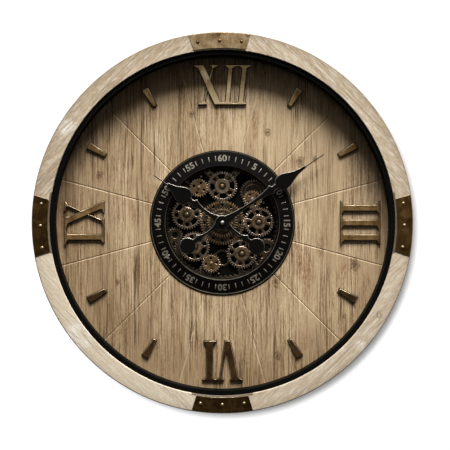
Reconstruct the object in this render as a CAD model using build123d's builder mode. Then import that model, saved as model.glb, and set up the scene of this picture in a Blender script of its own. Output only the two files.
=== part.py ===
from build123d import *

import os
from math import cos, hypot, radians, sin

# Round wall clock with an open gear train in the middle of its dial. All sizes are in millimetres.
# The origin lies on the wall plane, on the axis of the hands. +Z is up and the dial faces -Y.
# A depth counts forward from the wall, so depth d is the plane y = -d.

# Fits
running_fit = 0.05  # radial play of what turns or slides in a bore
seat_fit = 0.05  # radial play of a fixed pin or tube in its hole
moving_gap = 0.3  # least air between pieces that move past each other
bay_play = 0.35  # room round a cell in its bay and round a plate in its recess

# Wooden rim in four quarters
rim_radius = 300.0
rim_width = 28.0
rim_depth = 72.0
rim_outer_bevel = 1.0
rim_inner_bevel = 0.8
shoulder_width = 8.0
quarter_starts = {
    "rim_upper_right": 0.0,
    "rim_upper_left": 90.0,
    "rim_lower_left": 180.0,
    "rim_lower_right": 270.0,
}

# Dial board and the black hoop above it
dial_face = 38.0
dial_thickness = 9.0
dial_play = 0.5
groove_count = 12
groove_width = 3.0
groove_depth = 0.8
hoop_wall = 7.2
hoop_play = 0.2
hoop_set_back = 3.0
hoop_starts = {"hoop_left": 90.0, "hoop_right": 270.0}

# Bronze straps over the joints of the rim, with square-shanked nails
strap_angles = {"strap_top": 90.85, "strap_right": -0.8, "strap_bottom": 270.0, "strap_left": 181.0}
strap_thickness = 1.2
strap_inner_margin = 2.5
strap_outer_half_angle = 9.3
strap_inner_half_angle = 8.6
nail_step_angle = 6.9
nail_head_radius = 2.6
nail_head_sides = 8
nail_head_height = 1.6
nail_head_taper = 38.0
nail_shank = 1.8
nail_length = 12.0

# Raised numerals and bars on the dial
numeral_margin = 12.2
numeral_height = 65.0
numeral_thickness = 6.0
serif_thickness = 3.6
serif_bracket = 3.4
marker_margin = 17.4
marker_length = 33.6
marker_inner_width = 8.0
marker_outer_width = 13.3
marker_height = 6.5
marker_slope = 22.0

# Gear train
module = 1.3
centre_teeth = 54
wheel_teeth = 36
pinion_teeth = 22
step_teeth = 36
ratchet_teeth = 24
tooth_root_share = 0.33
tooth_tip_share = 0.12
addendum = 1.0
dedendum = 1.25
wheel_angles = {
    "wheel_top": 90.0,
    "wheel_left": 167.0,
    "wheel_right": 1.0,
    "wheel_lower_left": 221.0,
    "wheel_lower_right": -57.7,
}
window_angles = {
    "wheel_top": 45.0,
    "wheel_left": 7.0,
    "wheel_right": 10.0,
    "wheel_lower_left": 20.0,
    "wheel_lower_right": -5.0,
}
pinion_places = {
    "pinion_upper_left": ("wheel_top", 183.9, 72.5),
    "pinion_upper_right": ("wheel_right", 105.6, 35.0),
    "pinion_lower": ("wheel_lower_left", -45.3, 0.0),
}
driven_pinion = "pinion_upper_right"
web_thickness = 3.4
pinion_thickness = 5.0
hub_radius = 11.2
hub_height = 2.0
window_inner_radius = 12.6
window_outer_radius = 19.8
window_half_angle = 20.0
window_sides = 12
centre_window_radius = 2.8
centre_window_circle = 29.0
centre_window_count = 12
centre_window_sides = 8
pinion_hole_radius = 2.4
pinion_hole_circle = 8.4
pinion_hole_sides = 10
stack_layer = 2.0

# Pins of the train
hexagon = 6
pin_head_sides = 12
arbor_radius = 2.0
arbor_base_height = 2.8
arbor_base_radius = 5.0
arbor_head_radius = 3.3
arbor_head_height = 1.7
arbor_head_taper = 40.0

# Pan behind the opening, minute ring in front of it
ring_margin = 5.4
ring_width = 27.4
ring_thickness = 5.5
ring_lip_height = 1.0
ring_lip_width = 2.6
ring_bevel = 2.8
pan_wall = 2.5
pan_floor = 2.5
pan_floor_front = 22.5
pan_flange_width = 18.0
pan_flange_thickness = 2.5
pan_step = 2.4
opening_play = 1.0

# Relief and bridge on the pan floor
relief_thickness = 1.8
relief_gears = [(49.0, 49.0, 30), (-64.0, -42.0, 20)]
relief_ring_place = (0.0, -57.0)
relief_ring_radius = 13.5
relief_ring_width = 3.0
relief_ring_sides = 24
bridge_arm_width = 9.0
bridge_arm_length = 38.0
bridge_arm_angles = [45.0, 135.0]

# Axis of the hands
post_radius = 5.0
post_front = 35.0
post_foot = 4.0
nut_radius = 9.0
nut_thickness = 2.7
clip_radius = 8.0
clip_thickness = 1.2
pipe_radius = 3.4
axis_radius = 2.0
hand_thickness = 1.5
hour_hand_depth = 46.5
minute_hand_depth = 50.0
hour_direction = 90.0 - 304.675
minute_direction = 90.0 - 56.1
hand_hub_radius = 11.5
cap_radius = 4.2
cap_height = 4.0
cap_bevel = 1.6

# Hands: distances from the axis along the blade, each with a half width
hour_tip = 133.0
hour_flare = 53.5
hour_arm = [(9.0, 7.0), (17.0, 4.2), (29.0, 2.4), (41.0, 3.1)]
hour_bulge = (76.5, 14.0)
hour_neck = (93.0, 6.6)
hour_needle = (107.0, 2.9)
minute_tip = 195.0
minute_flare = 94.8
minute_arm = [(9.0, 7.0), (27.0, 3.9), (46.0, 2.5), (64.0, 2.7), (80.0, 4.0)]
minute_bulge = (115.0, 12.2)
minute_neck = (143.0, 4.2)
minute_needle = (160.0, 1.7)
tail_flare = 45.0
tail_arm = [(9.0, 7.0), (17.0, 3.4), (28.0, 2.1), (38.0, 2.9)]
tail_length = 66.0
tail_disc_radius = 13.0
hand_tip_half = 0.8
flare_half = 7.4
flare_length = 2.6
collar_half = 3.8
blade_gap = 9.2

# Movement, gear motor and cells behind the pan
case_back = 3.5
movement_size = 56.0
case_corner = 4.0
case_spacing = 4.0
cell_radius = 7.25
cell_length = 49.3
cell_nub_radius = 2.75
cell_nub_length = 1.2
cell_nub_sides = 10
bay_wall = 1.2
bay_floor = 0.8
movement_bay_place = -18.0
knob_radius = 7.0
knob_sides = 24
knob_thickness = 2.6
knob_place = 14.0
knob_stem_length = 6.0
motor_height = 29.0
lug_radius = 6.0
lug_thickness = 3.0
shaft_depth_in_motor = 8.0
shaft_collar_radius = 3.6
switch_drop = 20.0
switch_length = 8.0
switch_width = 4.4
switch_travel = 4.0
switch_depth = 2.2
switch_nib = 2.0

# Keyhole hanger let into the back of the rim
hanger_length = 44.0
hanger_height = 17.0
hanger_thickness = 1.6
keyhole_radius = 4.25
keyhole_slot_radius = 2.25
keyhole_rise = 7.2
keyhole_drop = 2.8
keyhole_pocket_depth = 9.0
keyhole_pocket_play = 2.4

# Worked-out depths and radii
front_axis = Axis((0, 0, 0), (0, -1, 0))
rim_bore = rim_radius - rim_width
rebate_radius = rim_bore + shoulder_width
rim_middle = rim_radius - rim_width / 2
dial_back = dial_face - dial_thickness
dial_radius = rebate_radius - dial_play
hoop_radius = rim_bore - hoop_play
hoop_inner_radius = hoop_radius - hoop_wall
hoop_front = rim_depth - hoop_set_back
numeral_base_radius = hoop_inner_radius - numeral_margin - numeral_height
marker_radius = hoop_inner_radius - marker_margin - marker_length / 2
strap_inner_radius = rim_bore + strap_inner_margin
strap_outer_radius = rim_radius - rim_outer_bevel
strap_front = rim_depth + strap_thickness
pan_floor_back = pan_floor_front - pan_floor
train_back = pan_floor_front + arbor_base_height + moving_gap
web_front = train_back + web_thickness
wheel_front = web_front + hub_height
pinion_front = train_back + pinion_thickness
stack_front = web_front + 2 * stack_layer
bore_radius = arbor_radius + running_fit
bay_radius = cell_radius + bay_play
bay_front = pan_floor_back - bay_floor
cell_depth = bay_front - seat_fit - cell_radius
hour_hand_front = hour_hand_depth + hand_thickness
minute_hand_front = minute_hand_depth + hand_thickness


def pitch_radius(teeth):
    """Pitch radius of a gear of this train."""
    return module * teeth / 2


def tip_radius(teeth):
    """Radius over the teeth."""
    return pitch_radius(teeth) + addendum * module


def polar(radius, angle):
    """Point (x, z) at an angle counted from +X towards +Z, as seen from the front."""
    return (radius * cos(radians(angle)), radius * sin(radians(angle)))


def facing(depth, place=(0.0, 0.0), angle=0.0):
    """Plane that looks out of the dial at a depth, centred on (x, z), its own x turned to the angle."""
    along = polar(1.0, angle)
    return Plane(origin=(place[0], -depth, place[1]), x_dir=(along[0], 0, along[1]), z_dir=(0, -1, 0))


def radial(angle):
    """Plane through the axis whose own x is the radius and whose own y is the depth."""
    along = polar(1.0, angle)
    return Plane(origin=(0, 0, 0), x_dir=(along[0], 0, along[1]), z_dir=(along[1], 0, -along[0]))


def around(radius, angles):
    """Places on a circle of a facing plane, each turned to look outward."""
    return [Location((*polar(radius, angle), 0), (0, 0, angle)) for angle in angles]


def meshed_phase(phase, teeth, direction, other_teeth, wanted):
    """Angle of a tooth of the next gear that lies in a gap of this one, nearest to the wanted angle."""
    pitch = 360.0 / teeth
    other_pitch = 360.0 / other_teeth
    share = (direction - phase) / pitch
    meshed = direction + 180.0 + (share + 0.5) * other_pitch
    return meshed + other_pitch * round((wanted - meshed) / other_pitch)


def save(piece, name):
    """Labels a finished piece and writes it."""
    piece.part.label = name
    export_step(piece.part, f"parts/{name}.step")


def gear_points(teeth):
    """Corners of a gear with straight-flanked teeth, one of them centred on the plane's own x."""
    pitch = 360.0 / teeth
    root = pitch_radius(teeth) - dedendum * module
    tip = tip_radius(teeth)
    points = []
    for tooth in range(teeth):
        points.append(polar(root, (tooth - tooth_root_share) * pitch))
        points.append(polar(tip, (tooth - tooth_tip_share) * pitch))
        points.append(polar(tip, (tooth + tooth_tip_share) * pitch))
        points.append(polar(root, (tooth + tooth_root_share) * pitch))
    return points


def saw_points(teeth):
    """Corners of a ratchet wheel."""
    pitch = 360.0 / teeth
    root = pitch_radius(teeth) - addendum * module
    tip = pitch_radius(teeth) + addendum * module / 2
    points = []
    for tooth in range(teeth):
        points.append(polar(root, (tooth + tooth_tip_share) * pitch))
        points.append(polar(tip, (tooth + 1.0) * pitch))
    return points


# Where the gears stand, seen from the front
wheel_places = {
    name: polar(pitch_radius(centre_teeth) + pitch_radius(wheel_teeth), angle)
    for name, angle in wheel_angles.items()
}
wheel_phases = {
    name: meshed_phase(0.0, centre_teeth, angle, wheel_teeth, window_angles[name])
    for name, angle in wheel_angles.items()
}
pinion_reach = pitch_radius(wheel_teeth) + pitch_radius(pinion_teeth)
pinion_spots = {}
pinion_phases = {}
for name, (wheel, angle, hole_angle) in pinion_places.items():
    reach_x, reach_z = polar(pinion_reach, angle)
    pinion_spots[name] = (wheel_places[wheel][0] + reach_x, wheel_places[wheel][1] + reach_z)
    pinion_phases[name] = meshed_phase(wheel_phases[wheel], wheel_teeth, angle, pinion_teeth, hole_angle)
shaft_place = pinion_spots[driven_pinion]
arbor_places = [spot for name, spot in pinion_spots.items() if name != driven_pinion]

# The opening is as wide as the train needs
train_reach = max(
    [hypot(*spot) + tip_radius(wheel_teeth) for spot in wheel_places.values()]
    + [hypot(*spot) + tip_radius(pinion_teeth) for spot in pinion_spots.values()]
)
ring_inner_radius = train_reach + ring_margin
ring_outer_radius = ring_inner_radius + ring_width
ring_front = dial_face + ring_thickness
pan_inner_radius = ring_inner_radius + pan_step + pan_wall
pan_radius = pan_inner_radius + pan_wall
opening_radius = pan_radius + opening_play
flange_back = dial_back - pan_flange_thickness

# Gear motor housing beside the movement
drive_left = movement_size / 2 + case_spacing
drive_bay_pitch = 2 * bay_radius + bay_wall
drive_width = 2 * drive_bay_pitch + bay_wall
bay_length = cell_length + cell_nub_length + 2 * bay_play
drive_top = shaft_place[1] + motor_height / 2
drive_bottom = drive_top - motor_height - bay_length - bay_wall
drive_middle = drive_left + drive_width / 2
drive_bay_middle = drive_bottom + bay_wall + bay_length / 2
switch_place = (drive_middle, drive_top - switch_drop)
lug_places = [(drive_middle, drive_top + lug_radius / 2), (drive_middle, drive_bottom - lug_radius / 2)]

# Hanger at twelve o'clock
hanger_middle = (rebate_radius + rim_radius) / 2
keyhole_centre = hanger_middle - keyhole_drop

os.makedirs("parts", exist_ok=True)

# Rim quarters: turned section with a shoulder for the dial, cut for nails and the hanger
nail_places = {
    name: [strap + step * nail_step_angle for step in (-1, 0, 1)] for name, strap in strap_angles.items()
}
all_nail_angles = [angle for angles in nail_places.values() for angle in angles]
for name, start in quarter_starts.items():
    with BuildPart() as rim_quarter:
        with BuildSketch(radial(start)):
            with BuildLine():
                Polyline(
                    (rebate_radius, 0),
                    (rim_radius, 0),
                    (rim_radius, rim_depth - rim_outer_bevel),
                    (rim_radius - rim_outer_bevel, rim_depth),
                    (rim_bore + rim_inner_bevel, rim_depth),
                    (rim_bore, rim_depth - rim_inner_bevel),
                    (rim_bore, dial_face),
                    (rebate_radius, dial_face),
                    close=True,
                )
            make_face()
        revolve(axis=front_axis, revolution_arc=90)
        with BuildSketch(facing(rim_depth)):
            with Locations(*around(rim_middle, all_nail_angles)):
                Rectangle(nail_shank + 2 * seat_fit, nail_shank + 2 * seat_fit)
        extrude(amount=-nail_length - seat_fit, mode=Mode.SUBTRACT)
        with BuildSketch(facing(0.0, (0.0, hanger_middle))):
            Rectangle(hanger_length + 2 * bay_play, hanger_height + 2 * bay_play)
        extrude(amount=hanger_thickness, mode=Mode.SUBTRACT)
        with BuildSketch(facing(hanger_thickness, (0.0, keyhole_centre))):
            Circle(keyhole_radius + keyhole_pocket_play / 2)
            with Locations((0, keyhole_rise / 2)):
                Rectangle(2 * keyhole_slot_radius + 2 * keyhole_pocket_play, keyhole_rise)
            with Locations((0, keyhole_rise)):
                Circle(keyhole_slot_radius + keyhole_pocket_play)
        extrude(amount=keyhole_pocket_depth, mode=Mode.SUBTRACT)
    save(rim_quarter, name)

# Straps: flat bronze sectors, wider at the outside, with square nail holes
for name, middle in strap_angles.items():
    outer_start = polar(strap_outer_radius, middle - strap_outer_half_angle)
    outer_end = polar(strap_outer_radius, middle + strap_outer_half_angle)
    inner_start = polar(strap_inner_radius, middle - strap_inner_half_angle)
    inner_end = polar(strap_inner_radius, middle + strap_inner_half_angle)
    with BuildPart() as strap:
        with BuildSketch(facing(rim_depth)):
            with BuildLine():
                ThreePointArc(outer_start, polar(strap_outer_radius, middle), outer_end)
                Line(outer_end, inner_end)
                ThreePointArc(inner_end, polar(strap_inner_radius, middle), inner_start)
                Line(inner_start, outer_start)
            make_face()
            with Locations(*around(rim_middle, nail_places[name])):
                Rectangle(nail_shank + 2 * seat_fit, nail_shank + 2 * seat_fit, mode=Mode.SUBTRACT)
        extrude(amount=strap_thickness)
    save(strap, name)

# Nails: eight-sided heads on square shanks
with BuildPart() as strap_nails:
    with BuildSketch(facing(strap_front)):
        with Locations(*around(rim_middle, all_nail_angles)):
            RegularPolygon(nail_head_radius, nail_head_sides)
    extrude(amount=nail_head_height, taper=nail_head_taper)
    with BuildSketch(facing(strap_front)):
        with Locations(*around(rim_middle, all_nail_angles)):
            Rectangle(nail_shank, nail_shank)
    extrude(amount=-nail_length)
save(strap_nails, "strap_nails")

# Hoop: two black half rings that stand on the dial inside the rim
for name, start in hoop_starts.items():
    with BuildPart() as hoop_half:
        with BuildSketch(radial(start)):
            with BuildLine():
                Polyline(
                    (hoop_inner_radius, dial_face),
                    (hoop_radius, dial_face),
                    (hoop_radius, hoop_front),
                    (hoop_inner_radius, hoop_front),
                    close=True,
                )
            make_face()
        revolve(axis=front_axis, revolution_arc=180)
    save(hoop_half, name)

# Dial: round board with the opening and radial grooves
with BuildPart() as dial_board:
    with BuildSketch(facing(dial_back)):
        Circle(dial_radius)
        Circle(opening_radius, mode=Mode.SUBTRACT)
    extrude(amount=dial_thickness)
    for index in range(groove_count):
        groove_angle = 360.0 / groove_count * (index + 0.5)
        groove_start = polar(ring_outer_radius - ring_lip_width, groove_angle)
        along = polar(1.0, groove_angle)
        groove_plane = Plane(
            origin=(groove_start[0], -dial_face, groove_start[1]),
            x_dir=(-along[1], 0, along[0]),
            z_dir=(along[0], 0, along[1]),
        )
        with BuildSketch(groove_plane):
            with BuildLine():
                Polyline((-groove_width / 2, 0), (groove_width / 2, 0), (0, -groove_depth), close=True)
            make_face()
        extrude(amount=hoop_radius - hoop_wall / 2 - ring_outer_radius + ring_lip_width, mode=Mode.SUBTRACT)
save(dial_board, "dial_board")

# Numerals: strokes (foot, head, width) and serifs (left, right), read with the foot towards the axis
numerals = {
    "numeral_twelve": (
        90.0,
        [(-6.5, -36.0, 13.0), (-31.0, -13.0, 3.5), (7.8, 13.4, 8.6), (29.0, 36.0, 9.5)],
        [(-38.6, -23.8), (-14.3, 38.6)],
        [(-46.0, -29.0), (-20.8, -5.6), (3.9, 46.4)],
    ),
    "numeral_three": (
        0.0,
        [(-23.5, -23.5, 11.0), (0.0, 0.0, 11.0), (23.5, 23.5, 11.0)],
        [(-35.0, 35.0)],
        [(-35.0, 35.0)],
    ),
    "numeral_six": (
        270.0,
        [(-8.0, -21.6, 11.5), (-6.0, 3.9, 5.0), (20.4, 20.4, 11.5)],
        [(8.5, 30.5)],
        [(-32.9, -11.8), (-3.0, 32.8)],
    ),
    "numeral_nine": (
        180.0,
        [(-23.0, -23.0, 10.6), (30.0, 1.0, 12.0), (1.0, 30.0, 3.5)],
        [(-32.0, 7.5), (15.5, 35.4)],
        [(-36.0, 11.5), (18.0, 34.0)],
    ),
}


def letter_polygons(strokes, foot_serifs, head_serifs):
    """Convex pieces of a numeral: each stroke, each serif and the bracket where a stroke meets its serif."""
    pieces = []
    rise = serif_thickness + serif_bracket
    for foot, head, width in strokes:
        half = width / 2
        pieces.append(
            [(foot - half, 0), (foot + half, 0), (head + half, numeral_height), (head - half, numeral_height)]
        )
        lean = (head - foot) / numeral_height * rise
        ends = [
            (foot, foot + lean, foot_serifs, 0.0, 1.0),
            (head, head - lean, head_serifs, numeral_height, -1.0),
        ]
        for end, neck, serifs, level, inward in ends:
            for left, right in serifs:
                if left < end < right:
                    low = max(left, end - half - serif_bracket)
                    high = min(right, end + half + serif_bracket)
                    pieces.append(
                        [
                            (low, level),
                            (high, level),
                            (high, level + inward * serif_thickness),
                            (neck + half, level + inward * rise),
                            (neck - half, level + inward * rise),
                            (low, level + inward * serif_thickness),
                        ]
                    )
    for serifs, bottom in ((foot_serifs, 0.0), (head_serifs, numeral_height - serif_thickness)):
        for left, right in serifs:
            top = bottom + serif_thickness
            pieces.append([(left, bottom), (right, bottom), (right, top), (left, top)])
    return pieces


for name, (outward, strokes, foot_serifs, head_serifs) in numerals.items():
    with BuildPart() as numeral:
        with BuildSketch(facing(dial_face, polar(numeral_base_radius, outward), outward - 90.0)):
            for corners in letter_polygons(strokes, foot_serifs, head_serifs):
                Polygon(*corners, align=None)
        extrude(amount=numeral_thickness)
    save(numeral, name)

# Hour bars: tapered blocks with sloping sides at the eight hours without a numeral
with BuildPart() as hour_markers:
    for hour in (1, 2, 4, 5, 7, 8, 10, 11):
        outward = 90.0 - 30.0 * hour
        with BuildSketch(facing(dial_face, polar(marker_radius, outward), outward)):
            Polygon(
                (-marker_length / 2, -marker_inner_width / 2),
                (marker_length / 2, -marker_outer_width / 2),
                (marker_length / 2, marker_outer_width / 2),
                (-marker_length / 2, marker_inner_width / 2),
                align=None,
            )
        extrude(amount=marker_height, taper=marker_slope)
save(hour_markers, "hour_markers")

# Minute ring: flat ring with a raised outer lip and a sloping inner edge
with BuildPart() as chapter_ring:
    with BuildSketch(radial(0.0)):
        with BuildLine():
            Polyline(
                (ring_inner_radius, dial_face),
                (ring_outer_radius, dial_face),
                (ring_outer_radius, ring_front + ring_lip_height),
                (ring_outer_radius - ring_lip_width, ring_front),
                (ring_inner_radius + ring_bevel, ring_front),
                (ring_inner_radius, ring_front - ring_bevel),
                close=True,
            )
        make_face()
    revolve(axis=front_axis)
save(chapter_ring, "chapter_ring")

# Pan: floor, short wall and a flange that lies against the back of the dial
with BuildPart() as gear_tub:
    with BuildSketch(facing(pan_floor_back)):
        Circle(pan_radius)
    extrude(amount=dial_back - pan_floor_back)
    with BuildSketch(facing(flange_back)):
        Circle(pan_radius + pan_flange_width)
    extrude(amount=pan_flange_thickness)
    with BuildSketch(facing(pan_floor_front)):
        Circle(pan_inner_radius)
    extrude(amount=dial_back - pan_floor_front, mode=Mode.SUBTRACT)
    with BuildSketch(facing(pan_floor_back)):
        Circle(post_radius + seat_fit)
        with Locations(shaft_place):
            Circle(bore_radius)
    extrude(amount=pan_floor, mode=Mode.SUBTRACT)
save(gear_tub, "gear_tub")

# Relief on the floor of the pan: two plain gears and a ring behind the moving train
with BuildPart() as backdrop_gears:
    for place_x, place_z, teeth in relief_gears:
        with BuildSketch(facing(pan_floor_front, (place_x, place_z))):
            with BuildLine():
                Polyline(*gear_points(teeth), close=True)
            make_face()
        extrude(amount=relief_thickness)
    with BuildSketch(facing(pan_floor_front, relief_ring_place)):
        RegularPolygon(relief_ring_radius, relief_ring_sides)
        RegularPolygon(relief_ring_radius - relief_ring_width, relief_ring_sides, mode=Mode.SUBTRACT)
    extrude(amount=relief_thickness)
    with BuildSketch(facing(pan_floor_front)):
        with Locations(shaft_place):
            Circle(arbor_base_radius)
    extrude(amount=relief_thickness, mode=Mode.SUBTRACT)
save(backdrop_gears, "backdrop_gears")

# Bridge: two arms that fork upwards from the seat of the top wheel
with BuildPart() as train_bridge:
    with BuildSketch(facing(pan_floor_front, wheel_places["wheel_top"])):
        Circle(arbor_base_radius + bridge_arm_width / 2)
        with Locations(*around(bridge_arm_length / 2, bridge_arm_angles)):
            Rectangle(bridge_arm_length, bridge_arm_width)
        Circle(arbor_base_radius + moving_gap, mode=Mode.SUBTRACT)
    extrude(amount=relief_thickness)
save(train_bridge, "train_bridge")

# Arbors: hexagon foot on the floor, journal, head that keeps the gear on
arbor_groups = {
    "wheel_arbors": (list(wheel_places.values()), wheel_front),
    "pinion_arbors": (arbor_places, pinion_front),
}
for name, (spots, gear_front) in arbor_groups.items():
    with BuildPart() as arbors:
        for spot in spots:
            with BuildSketch(facing(pan_floor_front, spot)):
                RegularPolygon(arbor_base_radius, hexagon)
            extrude(amount=arbor_base_height)
            with BuildSketch(facing(pan_floor_front + arbor_base_height, spot)):
                Circle(arbor_radius)
            extrude(amount=gear_front + moving_gap - pan_floor_front - arbor_base_height)
            with BuildSketch(facing(gear_front + moving_gap, spot)):
                RegularPolygon(arbor_head_radius, pin_head_sides)
            extrude(amount=arbor_head_height, taper=arbor_head_taper)
    save(arbors, name)

# Five like wheels: toothed web with round and wide windows, raised hub, bore
for name, spot in wheel_places.items():
    phase = wheel_phases[name]
    window_middle = (window_inner_radius + window_outer_radius) / 2
    window_radius = (window_outer_radius - window_inner_radius) / 2
    with BuildPart() as wheel:
        with BuildSketch(facing(train_back, spot, phase)):
            with BuildLine():
                Polyline(*gear_points(wheel_teeth), close=True)
            make_face()
            with PolarLocations(window_middle, 4):
                RegularPolygon(window_radius, window_sides, mode=Mode.SUBTRACT)
            for quarter in range(4):
                lean = 45.0 + 90.0 * quarter
                Polygon(
                    polar(window_inner_radius, lean - window_half_angle),
                    polar(window_outer_radius, lean - window_half_angle),
                    polar(window_outer_radius, lean),
                    polar(window_outer_radius, lean + window_half_angle),
                    polar(window_inner_radius, lean + window_half_angle),
                    align=None,
                    mode=Mode.SUBTRACT,
                )
        extrude(amount=web_thickness)
        with BuildSketch(facing(web_front, spot, phase)):
            Circle(hub_radius)
        extrude(amount=hub_height)
        with BuildSketch(facing(train_back, spot, phase)):
            Circle(bore_radius)
        extrude(amount=web_thickness + hub_height, mode=Mode.SUBTRACT)
    save(wheel, name)

# Three like pinions with four round holes
for name, spot in pinion_spots.items():
    phase = pinion_phases[name]
    with BuildPart() as pinion:
        with BuildSketch(facing(train_back, spot, phase)):
            with BuildLine():
                Polyline(*gear_points(pinion_teeth), close=True)
            make_face()
            with PolarLocations(pinion_hole_circle, 4):
                RegularPolygon(pinion_hole_radius, pinion_hole_sides, mode=Mode.SUBTRACT)
            Circle(bore_radius, mode=Mode.SUBTRACT)
        extrude(amount=pinion_thickness)
    save(pinion, name)

# Shaft of the gear motor: carries the driven pinion between a collar and a head
with BuildPart() as drive_shaft:
    with BuildSketch(facing(pan_floor_back - shaft_depth_in_motor, shaft_place)):
        Circle(arbor_radius)
    extrude(amount=pinion_front - pan_floor_back + shaft_depth_in_motor)
    with BuildSketch(facing(pan_floor_front + moving_gap, shaft_place)):
        RegularPolygon(shaft_collar_radius, pin_head_sides)
    extrude(amount=arbor_base_height)
    with BuildSketch(facing(pinion_front, shaft_place)):
        RegularPolygon(arbor_head_radius, pin_head_sides)
    extrude(amount=arbor_head_height, taper=arbor_head_taper)
save(drive_shaft, "drive_shaft")

# Centre stack: large wheel, step gear and ratchet, turning together on the post
centre_stack = {
    "centre_wheel": (gear_points(centre_teeth), train_back, web_thickness),
    "centre_step_gear": (gear_points(step_teeth), web_front, stack_layer),
    "centre_ratchet": (saw_points(ratchet_teeth), web_front + stack_layer, stack_layer),
}
for name, (outline, depth, thickness) in centre_stack.items():
    with BuildPart() as layer:
        with BuildSketch(facing(depth)):
            with BuildLine():
                Polyline(*outline, close=True)
            make_face()
            Circle(post_radius + running_fit, mode=Mode.SUBTRACT)
            if name == "centre_wheel":
                with PolarLocations(centre_window_circle, centre_window_count):
                    RegularPolygon(centre_window_radius, centre_window_sides, mode=Mode.SUBTRACT)
        extrude(amount=thickness)
    save(layer, name)

# Post of the movement with its nut in front of the pan floor and the clip that keeps the centre stack on
with BuildPart() as centre_post:
    with BuildSketch(facing(pan_floor_back - post_foot)):
        Circle(post_radius)
        Circle(pipe_radius + running_fit, mode=Mode.SUBTRACT)
    extrude(amount=post_front - pan_floor_back + post_foot)
save(centre_post, "centre_post")

with BuildPart() as post_nut:
    with BuildSketch(facing(pan_floor_front)):
        RegularPolygon(nut_radius, hexagon)
        Circle(post_radius + seat_fit, mode=Mode.SUBTRACT)
    extrude(amount=nut_thickness)
save(post_nut, "post_nut")

with BuildPart() as train_clip:
    with BuildSketch(facing(stack_front + moving_gap)):
        RegularPolygon(clip_radius, pin_head_sides)
        Circle(post_radius + seat_fit, mode=Mode.SUBTRACT)
    extrude(amount=clip_thickness)
save(train_clip, "train_clip")

# Hour pipe in the post, minute arbor in the pipe, cap on the end
with BuildPart() as hour_pipe:
    with BuildSketch(facing(pan_floor_back)):
        Circle(pipe_radius)
        Circle(axis_radius + running_fit, mode=Mode.SUBTRACT)
    extrude(amount=hour_hand_front + seat_fit - pan_floor_back)
save(hour_pipe, "hour_pipe")

with BuildPart() as minute_arbor:
    with BuildSketch(facing(pan_floor_back)):
        Circle(axis_radius)
    extrude(amount=minute_hand_front - pan_floor_back)
save(minute_arbor, "minute_arbor")

with BuildPart() as hand_cap:
    with BuildSketch(facing(minute_hand_front)):
        Circle(cap_radius)
    extrude(amount=cap_height)
    chamfer(hand_cap.faces().sort_by(Axis.Y)[0].edges(), length=cap_bevel)
save(hand_cap, "hand_cap")

# Spade hands: hub, waisted arms that flare before a collar, swelling blade with a needle, and a disc on the tail
hands = {
    "hour_hand": (
        hour_direction, hour_hand_depth, pipe_radius, hour_arm, hour_flare, hour_tip,
        [hour_bulge, hour_neck, hour_needle],
    ),
    "minute_hand": (
        minute_direction, minute_hand_depth, axis_radius, minute_arm, minute_flare, minute_tip,
        [minute_bulge, minute_neck, minute_needle],
    ),
}
for name, (direction, depth, shaft, arm, flare, tip, stations) in hands.items():
    blade_start = flare + blade_gap
    with BuildPart() as hand:
        with BuildSketch(facing(depth, (0.0, 0.0), direction)):
            Circle(hand_hub_radius)
            for way, bends, reach in ((1, arm, flare), (-1, tail_arm, tail_flare)):
                root, root_half = bends[0]
                with BuildLine():
                    for side in (1, -1):
                        Spline(*[(way * x, side * half) for x, half in [*bends, (reach, flare_half)]])
                    Line((way * root, root_half), (way * root, -root_half))
                    Line((way * reach, flare_half), (way * reach, -flare_half))
                make_face()
                collar_end = blade_start if way == 1 else tail_length
                collar = [
                    (reach, -flare_half),
                    (reach + flare_length, -collar_half),
                    (collar_end, -collar_half),
                    (collar_end, collar_half),
                    (reach + flare_length, collar_half),
                    (reach, flare_half),
                ]
                Polygon(*[(way * x, way * y) for x, y in collar], align=None)
            with BuildLine():
                for side in (1, -1):
                    bends = [(reach, side * half) for reach, half in stations]
                    Spline(
                        (blade_start, side * collar_half), *bends, (tip, side * hand_tip_half),
                        tangents=((0.2, side), (1, 0)),
                    )
                Line((blade_start, collar_half), (blade_start, -collar_half))
                Line((tip, hand_tip_half), (tip, -hand_tip_half))
            make_face()
            with Locations((-tail_length, 0)):
                Circle(tail_disc_radius)
            Circle(shaft + seat_fit, mode=Mode.SUBTRACT)
        extrude(amount=hand_thickness)
    save(hand, name)

# Movement: moulded case with an open bay for its cell, holes for the post and the set knob
with BuildPart() as movement_case:
    with BuildSketch(facing(case_back)):
        RectangleRounded(movement_size, movement_size, case_corner)
    extrude(amount=pan_floor_back - case_back)
    with BuildSketch(facing(case_back, (0.0, movement_bay_place))):
        Rectangle(bay_length, 2 * bay_radius)
    extrude(amount=bay_front - case_back, mode=Mode.SUBTRACT)
    with BuildSketch(facing(pan_floor_back - post_foot)):
        Circle(post_radius + seat_fit)
    extrude(amount=post_foot, mode=Mode.SUBTRACT)
    with BuildSketch(facing(case_back, (0.0, knob_place))):
        Circle(axis_radius + running_fit)
    extrude(amount=knob_stem_length, mode=Mode.SUBTRACT)
save(movement_case, "movement_case")

with BuildPart() as set_knob:
    with BuildSketch(facing(case_back - moving_gap, (0.0, knob_place))):
        RegularPolygon(knob_radius, knob_sides)
    extrude(amount=-knob_thickness)
    with BuildSketch(facing(case_back - moving_gap, (0.0, knob_place))):
        Circle(axis_radius)
    extrude(amount=knob_stem_length)
save(set_knob, "set_knob")

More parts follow.
